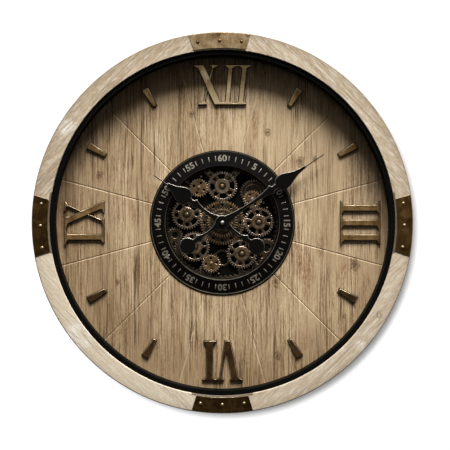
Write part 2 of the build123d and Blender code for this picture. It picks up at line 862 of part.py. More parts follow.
# Cells: plain cylinders with the raised end
with BuildPart() as movement_cell:
    with BuildSketch(Plane.YZ.offset(-bay_length / 2 + bay_play)):
        with Locations((-cell_depth, movement_bay_place)):
            Circle(cell_radius)
    extrude(amount=cell_length)
    with BuildSketch(Plane.YZ.offset(-bay_length / 2 + bay_play + cell_length)):
        with Locations((-cell_depth, movement_bay_place)):
            RegularPolygon(cell_nub_radius, cell_nub_sides)
    extrude(amount=cell_nub_length)
save(movement_cell, "movement_cell")

drive_bay_places = [drive_left + bay_wall + bay_radius + index * drive_bay_pitch for index in range(2)]
with BuildPart() as drive_cells:
    for place, upward in zip(drive_bay_places, (1, -1)):
        foot = drive_bay_middle - upward * (bay_length / 2 - bay_play)
        with BuildSketch(Plane.XY.offset(foot)):
            with Locations((place, -cell_depth)):
                Circle(cell_radius)
        extrude(amount=upward * cell_length)
        with BuildSketch(Plane.XY.offset(foot + upward * cell_length)):
            with Locations((place, -cell_depth)):
                RegularPolygon(cell_nub_radius, cell_nub_sides)
        extrude(amount=upward * cell_nub_length)
save(drive_cells, "drive_cells")

# Gear motor housing: two open cell bays, closed motor end with the switch slot, lugs
with BuildPart() as drive_case:
    with BuildSketch(facing(case_back, (drive_middle, (drive_top + drive_bottom) / 2))):
        RectangleRounded(drive_width, drive_top - drive_bottom, case_corner)
    extrude(amount=pan_floor_back - case_back)
    with BuildSketch(facing(pan_floor_back)):
        with Locations(*lug_places):
            Circle(lug_radius)
    extrude(amount=-lug_thickness)
    with BuildSketch(facing(case_back)):
        for place in drive_bay_places:
            with Locations((place, drive_bay_middle)):
                Rectangle(2 * bay_radius, bay_length)
    extrude(amount=bay_front - case_back, mode=Mode.SUBTRACT)
    with BuildSketch(facing(case_back, switch_place)):
        Rectangle(switch_length + switch_travel + 2 * moving_gap, switch_width + 2 * moving_gap)
    extrude(amount=switch_depth + moving_gap, mode=Mode.SUBTRACT)
    with BuildSketch(facing(pan_floor_back - shaft_depth_in_motor - moving_gap, shaft_place)):
        Circle(bore_radius)
    extrude(amount=shaft_depth_in_motor + moving_gap, mode=Mode.SUBTRACT)
save(drive_case, "drive_case")

with BuildPart() as switch_slider:
    slider_place = (switch_place[0] - switch_travel / 2, switch_place[1])
    with BuildSketch(facing(case_back, slider_place)):
        Rectangle(switch_length, switch_width)
    extrude(amount=switch_depth)
    with BuildSketch(facing(case_back, slider_place)):
        Rectangle(switch_nib, switch_width)
    extrude(amount=-switch_nib)
save(switch_slider, "switch_slider")

# Hanger: flush plate with a keyhole
with BuildPart() as hanger_plate:
    with BuildSketch(facing(0.0, (0.0, hanger_middle))):
        Rectangle(hanger_length, hanger_height)
    extrude(amount=hanger_thickness)
    with BuildSketch(facing(0.0, (0.0, keyhole_centre))):
        Circle(keyhole_radius)
        with Locations((0, keyhole_rise / 2)):
            Rectangle(2 * keyhole_slot_radius, keyhole_rise)
        with Locations((0, keyhole_rise)):
            Circle(keyhole_slot_radius)
    extrude(amount=hanger_thickness, mode=Mode.SUBTRACT)
save(hanger_plate, "hanger_plate")
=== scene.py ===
from math import atan2, cos, pi, radians, sin

import bmesh
import bpy
from mathutils import Matrix, Vector


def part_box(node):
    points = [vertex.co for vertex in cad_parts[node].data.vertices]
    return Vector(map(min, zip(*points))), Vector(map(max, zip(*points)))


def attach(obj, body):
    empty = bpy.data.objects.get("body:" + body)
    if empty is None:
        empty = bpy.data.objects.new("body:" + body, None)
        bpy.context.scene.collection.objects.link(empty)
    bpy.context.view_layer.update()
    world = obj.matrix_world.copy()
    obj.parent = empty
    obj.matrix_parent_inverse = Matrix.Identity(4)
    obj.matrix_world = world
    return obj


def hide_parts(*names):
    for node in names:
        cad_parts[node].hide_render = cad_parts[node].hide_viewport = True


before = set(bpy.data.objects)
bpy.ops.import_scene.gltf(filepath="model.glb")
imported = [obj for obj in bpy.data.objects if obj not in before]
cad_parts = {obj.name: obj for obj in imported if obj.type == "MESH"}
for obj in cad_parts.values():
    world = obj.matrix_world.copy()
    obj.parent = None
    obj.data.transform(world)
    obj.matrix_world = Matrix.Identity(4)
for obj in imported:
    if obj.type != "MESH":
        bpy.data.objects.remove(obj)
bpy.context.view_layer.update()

# Sizes in metres. A depth counts forward from the wall, so depth d is the plane y = -d.
mm = 0.001
case = "case"
axis = (0.0, 0.0)


def front_of(node):
    """Depth of a node's foremost face."""
    return -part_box(node)[0].y


def back_of(node):
    """Depth of a node's rearmost face."""
    return -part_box(node)[1].y


def middle_of(node):
    """Middle of a node as (x, z)."""
    low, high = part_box(node)
    return ((low.x + high.x) / 2, (low.z + high.z) / 2)


# Camera: square to the dial, framed as the photograph is
picture_pixels = 450
pixel_at_rim = 1.571 * mm
view_distance = 2.2
clock_left_of_middle = 2.7
clock_above_middle = 2.3
sensor = 36.0


def set_camera():
    """Puts the camera on the axis of the hands."""
    lens = bpy.data.cameras.new("view")
    lens.sensor_width = sensor
    lens.lens = sensor * view_distance / (picture_pixels * pixel_at_rim)
    lens.shift_x = clock_left_of_middle / picture_pixels
    lens.shift_y = -clock_above_middle / picture_pixels
    camera = bpy.data.objects.new("view", lens)
    camera.location = (0.0, -view_distance - front_of("strap_top"), 0.0)
    camera.rotation_euler = (pi / 2, 0.0, 0.0)
    bpy.context.scene.collection.objects.link(camera)
    bpy.context.scene.camera = camera


# Colours are written as they look on a screen, 0 to 255
def tone(red, green, blue):
    """Colour for a shader socket."""
    values = []
    for value in (red, green, blue):
        share = value / 255
        values.append(share / 12.92 if share <= 0.04045 else ((share + 0.055) / 1.055) ** 2.4)
    return (*values, 1.0)


def grey(level):
    """Neutral colour of a light level."""
    return (level, level, level, 1.0)


# Scale that takes the depth out of a place
flattened = (1.0, 0.0, 1.0)


# Small helpers for shader nodes. A socket knows the tree that it belongs to.
def place_node(tree, kind, settings=None, values=None):
    """Adds a node with its settings and its socket values."""
    node = tree.nodes.new(kind)
    for name, value in (settings or {}).items():
        setattr(node, name, value)
    for name, value in (values or {}).items():
        node.inputs[name].default_value = value
    return node


def join(source, target):
    """Joins two sockets."""
    source.id_data.links.new(source, target)


def feed(socket, value):
    """Sets a socket to a plain value, or joins another socket to it."""
    if isinstance(value, (int, float, tuple)):
        socket.default_value = value
    else:
        join(value, socket)


def node_after(source, kind, socket, settings=None, values=None):
    """Adds a node that takes a source in at one of its sockets, and gives what comes out of it."""
    node = place_node(source.id_data, kind, settings, values)
    join(source, node.inputs[socket])
    return node.outputs


def work_out(operation, first, second=0.0):
    """Adds a Math node on sockets or plain numbers, and gives its result."""
    source = second if isinstance(first, float) else first
    node = place_node(source.id_data, "ShaderNodeMath", {"operation": operation})
    feed(node.inputs[0], first)
    feed(node.inputs[1], second)
    return node.outputs[0]


def times(first, second):
    """Product of two sockets or numbers."""
    return work_out("MULTIPLY", first, second)


def less(first, second):
    """One socket or number less another."""
    return work_out("SUBTRACT", first, second)


def spread(value, low, high, to_low=0.0, to_high=1.0, smooth=False):
    """Takes a value from one range into another and holds it there."""
    settings = {"interpolation_type": "SMOOTHSTEP"} if smooth else {}
    names = {"From Min": low, "From Max": high, "To Min": to_low, "To Max": to_high}
    return node_after(value, "ShaderNodeMapRange", "Value", settings, names)["Result"]


def stretch(vector, sizes):
    """Scales a place by three numbers."""
    return node_after(vector, "ShaderNodeVectorMath", 0, {"operation": "MULTIPLY"}, {1: sizes})[0]


def scale_by(vector, size):
    """Scales a place by a socket."""
    node = place_node(vector.id_data, "ShaderNodeVectorMath", {"operation": "SCALE"})
    join(vector, node.inputs[0])
    join(size, node.inputs["Scale"])
    return node.outputs[0]


def reach_of(vector, start=(0.0, 0.0, 0.0)):
    """Distance of a place from a start."""
    return node_after(vector, "ShaderNodeVectorMath", 0, {"operation": "DISTANCE"}, {1: start})["Value"]


def parts_of(place):
    """A place as its x, y and z."""
    return node_after(place, "ShaderNodeSeparateXYZ", 0)


def noise(vector, scale, detail=4.0, roughness=0.55, distortion=0.0):
    """Cloudy noise from 0 to 1 at a place."""
    values = {"Scale": scale, "Detail": detail, "Roughness": roughness, "Distortion": distortion}
    return node_after(vector, "ShaderNodeTexNoise", "Vector", None, values)["Fac"]


def shades(value, stops):
    """Colours along a value: a list of (position, colour)."""
    node = place_node(value.id_data, "ShaderNodeValToRGB")
    ramp = node.color_ramp
    while len(ramp.elements) < len(stops):
        ramp.elements.new(0.5)
    for element, (position, colour) in zip(ramp.elements, stops):
        element.position = position
        element.color = colour
    join(value, node.inputs["Fac"])
    return node.outputs["Color"]


def lay_over(share, under, over, way="MIX"):
    """Lays one colour over another by a share."""
    node = place_node(under.id_data, "ShaderNodeMix", {"data_type": "RGBA", "blend_type": way})
    colours = [socket for socket in node.inputs if socket.type == "RGBA"]
    for socket, value in zip([node.inputs[0]] + colours, (share, under, over)):
        feed(socket, value)
    return next(socket for socket in node.outputs if socket.type == "RGBA")


def lay_rows(colour, rows):
    """Lays tones over a colour one by one: where, how strongly, the tone and, if it isn't plain, the way it mixes."""
    for where, share, over, *way in rows:
        colour = lay_over(times(where, share), colour, over, *way)
    return colour


def seen_rays(tree):
    """1 on rays from the camera, from gloss or through clear surfaces, 0 on rays that only carry light."""
    path = place_node(tree, "ShaderNodeLightPath").outputs
    seen = work_out("MAXIMUM", path["Is Camera Ray"], path["Is Glossy Ray"])
    return work_out("MAXIMUM", seen, path["Is Transmission Ray"])


def new_group(name, inputs, outputs):
    """Empty shader node group with a place, named numbers going in and values coming out."""
    group = bpy.data.node_groups.new(name, "ShaderNodeTree")
    group.interface.new_socket("Place", in_out="INPUT", socket_type="NodeSocketVector")
    for socket, value in inputs.items():
        made = group.interface.new_socket(socket, in_out="INPUT", socket_type="NodeSocketFloat")
        made.default_value = value
    for socket in outputs:
        group.interface.new_socket(socket, in_out="OUTPUT", socket_type="NodeSocketFloat")
    come, go = place_node(group, "NodeGroupInput"), place_node(group, "NodeGroupOutput")
    return group, come.outputs, go.inputs


def use_group(group, place, values=None):
    """Puts a group into a material at a place, and gives what comes out of it."""
    return node_after(place, "ShaderNodeGroup", "Place", {"node_tree": group}, values)


# Wood grain along Z: broad bands, streaks, fine fibres and thin dark checks
def make_grain_group():
    """Grain of a sawn board."""
    inputs = {"Streaks": 90.0, "Check Width": 0.012}
    group, come, go = new_group("wood_grain", inputs, ["Bands", "Streaks", "Fibres", "Checks"])
    place = come["Place"]
    bands = noise(stretch(place, (22.0, 22.0, 1.6)), 1.0, 3.0, 0.5, 0.3)
    join(spread(bands, 0.3, 0.7), go["Bands"])
    drawn = scale_by(stretch(place, (1.0, 1.0, 0.035)), come["Streaks"])
    streaks = noise(drawn, 1.0, 6.0, 0.62, 0.25)
    join(spread(streaks, 0.34, 0.66), go["Streaks"])
    fibres = noise(stretch(drawn, (1.0, 1.0, 5.0)), 2.2, 3.0, 0.65)
    join(spread(fibres, 0.3, 0.7), go["Fibres"])
    lines = noise(stretch(place, (120.0, 120.0, 1.6)), 1.0, 2.0, 0.5, 0.5)
    off = work_out("ABSOLUTE", less(lines, 0.5))
    near = work_out("LESS_THAN", off, come["Check Width"])
    broken = noise(stretch(place, (14.0, 14.0, 9.0)), 1.0, 2.0)
    join(times(near, spread(broken, 0.39, 0.55)), go["Checks"])
    return group


# Knots: (x, z, radius) on the dial and on the rim, seen from the front
dial_knots = [
    (0.0886, -0.2117, 0.0052),
    (0.1245, 0.0978, 0.0060),
    (0.2107, -0.0654, 0.0070),
    (0.0854, -0.0935, 0.0062),
    (-0.1672, -0.0960, 0.0034),
    (-0.1960, 0.0760, 0.0048),
    (0.0725, 0.1435, 0.0042),
    (0.1477, 0.1020, 0.0030),
    (0.1940, -0.1490, 0.0032),
    (-0.0494, 0.1735, 0.0042),
]
rim_knots = [(0.2460, -0.1450, 0.0044)]
# Patches where more limewash stayed on the rim
wash_patches = [(0.2170, -0.1930, 0.0046), (-0.2450, 0.1500, 0.0075), (-0.2300, -0.1800, 0.0130)]


def make_knot_group(name, knots, length):
    """Rings and cores of a few knots, each drawn out upwards by a length."""
    group, come, go = new_group(name, {}, ["Core", "Ring", "Halo"])
    flat = stretch(come["Place"], flattened)
    wobble = noise(flat, 120.0, 3.0, 0.6, 0.8)
    nearest = None
    for x, z, radius in knots:
        across, upward = 1.0 / radius, 1.0 / (radius * length)
        squeezed = stretch(flat, (across, 0.0, upward))
        reach = reach_of(squeezed, (x * across, 0.0, z * upward))
        nearest = reach if nearest is None else work_out("MINIMUM", nearest, reach)
    nearest = work_out("ADD", nearest, spread(wobble, 0.25, 0.75, -0.55, 0.55))
    edge = work_out("ABSOLUTE", less(nearest, 0.85))
    join(spread(nearest, 0.25, 0.75, 1.0, 0.0, True), go["Core"])
    join(spread(edge, 0.08, 0.24, 1.0, 0.0, True), go["Ring"])
    join(spread(nearest, 0.8, 2.6, 1.0, 0.0, True), go["Halo"])
    return group


# Patina of old metal: soft clouds, small specks, fine brush marks
def make_patina_group():
    """Uneven ageing of metal and paint."""
    group, come, go = new_group("patina", {"Cloud Size": 45.0}, ["Clouds", "Specks", "Rub"])
    scaled = scale_by(come["Place"], come["Cloud Size"])
    clouds = noise(scaled, 1.0, 5.0, 0.6, 0.4)
    join(spread(clouds, 0.32, 0.68), go["Clouds"])
    specks = noise(scaled, 14.0, 3.0, 0.7)
    join(spread(specks, 0.52, 0.68), go["Specks"])
    rub = noise(stretch(scaled, (1.0, 1.0, 0.12)), 9.0, 3.0, 0.6)
    join(spread(rub, 0.3, 0.7), go["Rub"])
    return group


grain_group = make_grain_group()
dial_knot_group = make_knot_group("dial_knots", dial_knots, 1.5)
rim_knot_group = make_knot_group("rim_knots", rim_knots, 1.1)
wash_patch_group = make_knot_group("wash_patches", wash_patches, 1.0)
patina_group = make_patina_group()


def new_finish(name, values):
    """Material with the sockets of its shader and the place on the object."""
    finish = bpy.data.materials.new(name)
    finish.use_nodes = True
    tree = finish.node_tree
    shader = tree.nodes["Principled BSDF"].inputs
    for socket, value in values.items():
        shader[socket].default_value = value
    place = place_node(tree, "ShaderNodeTexCoord").outputs["Object"]
    return finish, shader, place


def raise_surface(shader, height, depth, strength=1.0):
    """Bump from a height."""
    values = {"Strength": strength, "Distance": depth}
    join(node_after(height, "ShaderNodeBump", "Height", None, values)["Normal"], shader["Normal"])


def mix_grain(grain, streak_share):
    """Streaks and fibres of a grain as one value."""
    streaks = times(grain["Streaks"], streak_share)
    return work_out("ADD", streaks, times(grain["Fibres"], 1.0 - streak_share))


def bare_wood(grain, mixed, stops, dull, bright):
    """Colours along the grain under broad bands, dull and bright."""
    bands = shades(grain["Bands"], [(0.0, dull), (1.0, bright)])
    return lay_over(1.0, shades(mixed, stops), bands, "MULTIPLY")


# The dial darkens outwards from a point beside its middle, a painted shade towards the wall of the recess. Its cuts
# are paler wood here and there, from one depth below its face to another.
dial_shade_middle = (0.035, 0.0, 0.01)
dial_shade_range = (0.17, 0.27)
cut_start_range = (0.06 * mm, 0.3 * mm)
cut_end_range = (0.85 * mm, 1.0 * mm)


def dial_wood():
    """Weathered board with upright grain, quiet and stained places, pale cuts, knots and checks, under a painted
    shade towards its edge.
    """
    finish, shader, place = new_finish("dial_wood", {"Specular IOR Level": 0.25})
    grain = use_group(grain_group, place, {"Streaks": 520.0, "Check Width": 0.02})
    knots = use_group(dial_knot_group, place)
    flat = stretch(place, flattened)
    quiet_places = noise(stretch(place, (17.0, 17.0, 4.5)), 1.0, 2.0, 0.5)
    quiet = spread(quiet_places, 0.42, 0.62, 0.0, 0.65, True)
    lively = times(mix_grain(grain, 0.62), less(1.0, quiet))
    mixed = work_out("ADD", lively, times(quiet, 0.56))
    stops = [
        (0.0, tone(82, 58, 35)),
        (0.3, tone(152, 126, 94)),
        (0.6, tone(200, 177, 144)),
        (1.0, tone(230, 212, 182)),
    ]
    colour = bare_wood(grain, mixed, stops, tone(216, 208, 196), tone(255, 253, 249))
    stained_places = noise(stretch(place, (34.0, 34.0, 9.0)), 1.0, 3.0, 0.6)
    stained = spread(stained_places, 0.54, 0.7, 0.0, 0.8, True)
    # Painted shade: darker outwards from a point beside the dial's middle
    dial_edge_shade = spread(reach_of(flat, dial_shade_middle), *dial_shade_range, smooth=True)
    sunk = less(parts_of(place)["Y"], -front_of("dial_board"))
    cut = times(spread(sunk, *cut_start_range), spread(sunk, *cut_end_range, 1.0, 0.0))
    colour = lay_rows(colour, [
        (stained, spread(grain["Fibres"], 0.25, 0.75, 1.0, 0.25), tone(186, 160, 136), "MULTIPLY"),
        (dial_edge_shade, 0.8, tone(206, 197, 186), "MULTIPLY"),
        (cut, spread(noise(flat, 28.0, 2.0), 0.4, 0.6, 0.05, 0.3), tone(230, 211, 178)),
        (knots["Halo"], 0.2, tone(128, 98, 66)),
        (knots["Ring"], 0.65, tone(84, 55, 30)),
        (knots["Core"], 0.75, tone(72, 46, 24)),
        (grain["Checks"], spread(grain["Streaks"], 0.3, 0.75, 0.95, 0.15), tone(78, 54, 32)),
    ])
    join(colour, shader["Base Color"])
    join(spread(mixed, 0.0, 1.0, 0.85, 0.62), shader["Roughness"])
    raise_surface(shader, less(mixed, grain["Checks"]), 0.35 * mm)
    return finish


# Painted shade on the rim, and where its outer side begins, as ranges of the distance from the axis
rim_radius = 300.0 * mm
rim_outer_shade_range = (285.0 * mm, 299.0 * mm)
rim_edge_shade_range = (297.6 * mm, 299.4 * mm)
strap_foot_range = (274.6 * mm, 275.6 * mm)
outer_side_range = (299.2 * mm, 299.7 * mm)
# Depth below the rim's face in which the painted shade of the front ends
front_end_range = (0.8 * mm, 2.0 * mm)
# Half the width of the painted shade in the seam beside a strap, and the height above which there is none
seam_shade_side_range = (47.0 * mm, 50.0 * mm)
seam_shade_top_range = (180.0 * mm, 200.0 * mm)


def rim_side_wood(x, y, z):
    """Grain that runs round the outer side of the rim, and its colour."""
    around = place_node(y.id_data, "ShaderNodeCombineXYZ")
    join(y, around.inputs["X"])
    join(times(work_out("ARCTAN2", x, z), rim_radius), around.inputs["Z"])
    grain = use_group(grain_group, around.outputs[0], {"Streaks": 330.0, "Check Width": 0.012})
    stops = [(0.0, tone(110, 91, 68)), (0.5, tone(148, 129, 104)), (1.0, tone(176, 159, 134))]
    return grain, shades(grain["Streaks"], stops)


def rim_wood(name, grain_angle, limewash):
    """Board whose grain runs at an angle from upright, seen from the front, under more or less limewash."""
    finish, shader, place = new_finish(name, {"Specular IOR Level": 0.3})
    rotation = {"Rotation": (0.0, radians(grain_angle), 0.0)}
    along = node_after(place, "ShaderNodeMapping", "Vector", None, rotation)["Vector"]
    grain = use_group(grain_group, along, {"Streaks": 330.0, "Check Width": 0.009})
    knots = use_group(rim_knot_group, place)
    patches = use_group(wash_patch_group, place)
    mixed = mix_grain(grain, 0.55)
    stops = [
        (0.0, tone(126, 108, 85)),
        (0.35, tone(170, 153, 130)),
        (0.65, tone(194, 180, 160)),
        (1.0, tone(226, 218, 204)),
    ]
    colour = bare_wood(grain, mixed, stops, tone(232, 222, 208), tone(255, 250, 243))
    drawn = stretch(along, (2.2, 2.2, 0.4))
    wash = spread(noise(drawn, 150.0, 5.0, 0.65, 0.3), 0.5, 0.66, 0.0, 0.6)
    colour = lay_over(wash, colour, tone(226, 219, 206))
    colour = lay_over(limewash, colour, tone(232, 219, 195))
    mottle = spread(noise(place, 420.0, 4.0, 0.7), 0.34, 0.66, 0.0, 0.24)
    colour = lay_over(mottle, colour, tone(168, 148, 120))
    x, y, z = parts_of(place)
    from_axis = reach_of(stretch(place, flattened))
    on_front = spread(less(y, -front_of("rim_upper_left")), *front_end_range, 1.0, 0.0)
    aside = work_out("MINIMUM", work_out("ABSOLUTE", x), work_out("ABSOLUTE", z))
    # Where the painted shade in the seam beside the straps lies: near the upright and level lines through the axis,
    # below the top
    beside_strap = spread(aside, *seam_shade_side_range, 0.85, 0.0)
    beside_strap = times(beside_strap, spread(z, *seam_shade_top_range, 1.0, 0.0))
    colour = lay_rows(colour, [
        (patches["Halo"], spread(noise(drawn, 120.0, 5.0, 0.7), 0.4, 0.6, 0.0, 0.8), tone(240, 235, 226)),
        (knots["Halo"], 0.3, tone(172, 150, 122)),
        (knots["Ring"], 0.75, tone(104, 88, 72)),
        (grain["Checks"], 0.4, tone(132, 112, 86)),
        # Painted shade: darker towards the outer edge, and a dark line along the edge
        (on_front, spread(from_axis, *rim_outer_shade_range, 0.0, 0.32, True), tone(176, 168, 156), "MULTIPLY"),
        (on_front, spread(from_axis, *rim_edge_shade_range, 0.0, 0.6), tone(92, 80, 64)),
        # Painted shade in the seam beside the straps, below the top
        (beside_strap, spread(from_axis, *strap_foot_range, 1.0, 0.0), tone(74, 60, 42)),
    ])
    side_grain, side_colour = rim_side_wood(x, y, z)
    on_side = times(spread(from_axis, *outer_side_range), less(1.0, on_front))
    join(lay_over(on_side, colour, side_colour), shader["Base Color"])
    join(spread(mixed, 0.0, 1.0, 0.8, 0.58), shader["Roughness"])
    front_height = times(less(mixed, grain["Checks"]), less(1.0, on_side))
    side_height = times(less(side_grain["Streaks"], side_grain["Checks"]), on_side)
    raise_surface(shader, work_out("ADD", front_height, side_height), 0.25 * mm)
    return finish


def aged_finish(name, tones, roughness, values, cloud_size, lighter_below=None):
    """Metal or paint with patina: clouds, specks and uneven gloss. It may be painted lighter below a height, as a
    painted light.
    """
    dark, middle, light = (tone(*each) for each in tones)
    finish, shader, place = new_finish(name, values)
    aged = use_group(patina_group, place, {"Cloud Size": cloud_size})
    colour = shades(aged["Clouds"], [(0.0, dark), (0.5, middle), (1.0, light)])
    colour = lay_rows(colour, [(aged["Rub"], 0.35, dark), (aged["Specks"], 0.3, light)])
    # Painted light: lighter below a height
    if lighter_below:
        lighter_share = spread(parts_of(place)["Z"], *lighter_below, 0.75, 0.0, True)
        colour = lay_over(lighter_share, colour, light)
    join(colour, shader["Base Color"])
    low, high = roughness
    join(spread(aged["Clouds"], 0.0, 1.0, high, low), shader["Roughness"])
    raise_surface(shader, aged["Rub"], 0.06 * mm, 0.6)
    return finish


# Metals and the ink: dark, middle and light tone, smoothest and roughest places, metallic share, cloud size
metal_rows = {
    "bronze": ((86, 61, 31), (142, 109, 66), (196, 161, 109), (0.36, 0.46), 0.85, 45.0),
    # Lighter copy of the bronze, for XII: painted light
    "lit_bronze": ((106, 81, 49), (174, 143, 98), (240, 216, 172), (0.34, 0.44), 0.85, 45.0),
    # Darker copy of the bronze: painted shade on VI and the lower bars, and the own dark tone of the top strap's
    # nails
    "dark_bronze": ((46, 30, 13), (84, 59, 31), (124, 92, 54), (0.36, 0.46), 0.85, 45.0),
    # Dark sides of the cast pieces: part soot, part painted shade
    "soot_and_shade_bronze": ((31, 20, 11), (52, 36, 21), (76, 55, 35), (0.5, 0.65), 0.6, 45.0),
    "bronze_edge": ((104, 91, 69), (148, 133, 106), (180, 165, 137), (0.26, 0.4), 0.95, 45.0),
    "nail_brass": ((112, 94, 69), (156, 136, 106), (190, 170, 138), (0.34, 0.46), 0.9, 45.0),
    "strap_bronze": ((68, 45, 19), (132, 98, 52), (190, 150, 92), (0.14, 0.26), 0.95, 60.0),
    # Darker copy of the strap bronze, for the bottom and left straps: painted shade
    "shaded_strap": ((52, 34, 14), (106, 77, 40), (158, 122, 72), (0.14, 0.26), 0.95, 60.0),
    # Lighter copy of the strap bronze, for the top strap: painted light
    "lit_strap": ((102, 76, 44), (184, 154, 112), (236, 212, 172), (0.34, 0.44), 0.95, 70.0),
    "black_edge": ((108, 104, 95), (146, 141, 131), (172, 167, 157), (0.26, 0.4), 0.95, 45.0),
    "ring_edge": ((52, 47, 39), (84, 77, 65), (114, 105, 90), (0.4, 0.52), 0.85, 45.0),
    "relief_dark": ((30, 25, 18), (58, 48, 36), (86, 72, 54), (0.38, 0.55), 0.8, 90.0),
    "relief_edge": ((104, 90, 70), (148, 130, 106), (182, 164, 138), (0.3, 0.42), 0.9, 90.0),
    "gear_bronze": ((64, 48, 36), (108, 85, 65), (144, 118, 94), (0.3, 0.45), 0.92, 90.0),
    "gear_edge": ((138, 118, 100), (190, 170, 149), (222, 206, 188), (0.22, 0.34), 0.95, 90.0),
    "pinion_brass": ((90, 67, 43), (142, 112, 76), (180, 149, 110), (0.28, 0.42), 0.92, 90.0),
    "pinion_edge": ((172, 144, 112), (216, 190, 156), (238, 218, 190), (0.22, 0.34), 0.95, 90.0),
    "hub_bronze": ((70, 54, 37), (134, 109, 79), (198, 170, 133), (0.3, 0.45), 0.9, 260.0),
    "crown_bronze": ((132, 103, 73), (184, 151, 112), (214, 184, 146), (0.24, 0.36), 0.95, 90.0),
    "pin_brass": ((94, 77, 56), (138, 115, 87), (168, 145, 115), (0.36, 0.5), 0.9, 90.0),
    "bright_steel": ((150, 148, 142), (190, 188, 180), (220, 218, 210), (0.2, 0.35), 0.95, 90.0),
    "cell_film": ((60, 60, 64), (82, 82, 86), (104, 104, 108), (0.3, 0.42), 0.5, 60.0),
    "minute_ink": ((86, 80, 70), (120, 113, 100), (148, 140, 126), (0.45, 0.6), 0.2, 120.0),
}
# Paints and plastics: the same, with the specular level in place of the metallic share
paint_rows = {
    "black_paint": ((5, 4, 3), (8, 7, 5), (13, 11, 8), (0.4, 0.55), 0.06, 45.0),
    "hoop_black": ((4, 5, 4), (7, 7, 6), (11, 10, 8), (0.55, 0.7), 0.04, 20.0),
    "pan_black": ((5, 5, 4), (9, 9, 7), (16, 15, 11), (0.6, 0.75), 0.06, 60.0),
    "switch_grey": ((88, 88, 90), (108, 108, 110), (130, 130, 132), (0.5, 0.65), 0.4, 120.0),
    "moulded_black": ((20, 20, 21), (28, 28, 30), (38, 38, 40), (0.5, 0.65), 0.4, 120.0),
}
# Finishes painted lighter below a height, a painted light beneath the rim's shadow, and the range in which that ends
lighter_below_ranges = {"lit_bronze": (0.178, 0.235)}
# Rim quarters: turn of the grain and share of limewash
rim_quarters = {
    "rim_upper_left": (-45.0, 0.05),
    "rim_upper_right": (45.0, 0.05),
    "rim_lower_right": (-45.0, 0.2),
    "rim_lower_left": (45.0, 0.55),
}

finishes = {"dial_wood": dial_wood()}
for quarter, (grain_angle, limewash) in rim_quarters.items():
    finishes[f"{quarter}_wood"] = rim_wood(f"{quarter}_wood", grain_angle, limewash)
for socket, rows in (("Metallic", metal_rows), ("Specular IOR Level", paint_rows)):
    for name, (*tones, roughness, level, cloud_size) in rows.items():
        finishes[name] = aged_finish(name, tones, roughness, {socket: level}, cloud_size, lighter_below_ranges.get(name))

# CAD nodes: points this close are joined, and edges that turn by more than this angle are rounded off in steps
weld_within = 0.004 * mm
sharp_edge = 35.0
edge_steps = 3


def dress(names, finish, edge=None, width=0.0):
    """Gives CAD nodes their finish and, where a width is given, edges rubbed to a second finish."""
    for name in names:
        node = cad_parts[name]
        node.data.materials.clear()
        node.data.materials.append(finishes[finish])
        if not width:
            continue
        weld = node.modifiers.new("weld", "WELD")
        weld.merge_threshold = weld_within
        round_off = node.modifiers.new("round_off", "BEVEL")
        round_off.width = width
        round_off.segments = edge_steps
        round_off.limit_method = "ANGLE"
        round_off.angle_limit = radians(sharp_edge)
        round_off.harden_normals = True
        if edge:
            node.data.materials.append(finishes[edge])
            round_off.material = 1


numerals = ["numeral_twelve", "numeral_three", "numeral_six", "numeral_nine"]
wheels = ["wheel_top", "wheel_left", "wheel_right", "wheel_lower_left", "wheel_lower_right"]
pinions = ["pinion_upper_left", "pinion_upper_right", "pinion_lower"]
stack = ["centre_wheel", "centre_step_gear", "centre_ratchet"]
for quarter in rim_quarters:
    dress([quarter], f"{quarter}_wood", None, 0.5 * mm)
dress(["dial_board"], "dial_wood")
dress(["hoop_left", "hoop_right"], "hoop_black", None, 0.4 * mm)
# Painted light and shade: the top strap takes a lighter copy of the strap bronze, the bottom and left straps a darker
# one
dress(["strap_top"], "lit_strap", "bronze_edge", 0.3 * mm)
dress(["strap_right"], "strap_bronze", "bronze_edge", 0.3 * mm)
dress(["strap_bottom", "strap_left"], "shaded_strap", "bronze_edge", 0.3 * mm)
dress(numerals + ["hour_markers"], "bronze")
dress(["chapter_ring", "hour_hand", "minute_hand"], "black_paint")
dress(["gear_tub"], "pan_black")
dress(["backdrop_gears", "train_bridge"], "relief_dark", "relief_edge", 0.3 * mm)
dress(wheels, "gear_bronze", "gear_edge", 0.35 * mm)
dress(stack, "relief_dark", "hub_bronze", 0.35 * mm)
dress(pinions, "pinion_brass", "pinion_edge", 0.35 * mm)
dress(["wheel_arbors", "pinion_arbors", "centre_post", "post_nut", "hour_pipe", "minute_arbor"], "pinion_brass")
dress(["train_clip"], "gear_bronze", "gear_edge", 0.15 * mm)
dress(["drive_shaft", "hand_cap", "hanger_plate"], "bright_steel", None, 0.15 * mm)
dress(["movement_case", "drive_case", "set_knob"], "moulded_black", None, 0.3 * mm)
dress(["switch_slider"], "switch_grey", None, 0.3 * mm)
dress(["movement_cell", "drive_cells"], "cell_film", None, 0.4 * mm)
dress(["strap_nails"], "nail_brass")


# Pieces made in the scene
def at_spot(spot, depth):
    """Place at (x, z) and a depth, with z out of the dial."""
    return Matrix.Translation((spot[0], -depth, spot[1])) @ Matrix.Rotation(pi / 2, 4, "X")


def at_back(spot, depth):
    """Place at (x, z) and a depth, with z towards the wall."""
    return Matrix.Translation((spot[0], -depth, spot[1])) @ Matrix.Rotation(-pi / 2, 4, "X")


def swung(place, turn, radius, aside=0.0):
    """Place after a turn about its own z and a move outward along its own y, and aside."""
    return place @ Matrix.Rotation(turn, 4, "Z") @ Matrix.Translation((aside, radius, 0.0))


def on_dial(angle, radius, depth):
    """Place on the dial: x runs clockwise, y outward and z out of the dial. The angle is clockwise from twelve."""
    return swung(at_spot(axis, depth), -radians(angle), radius)


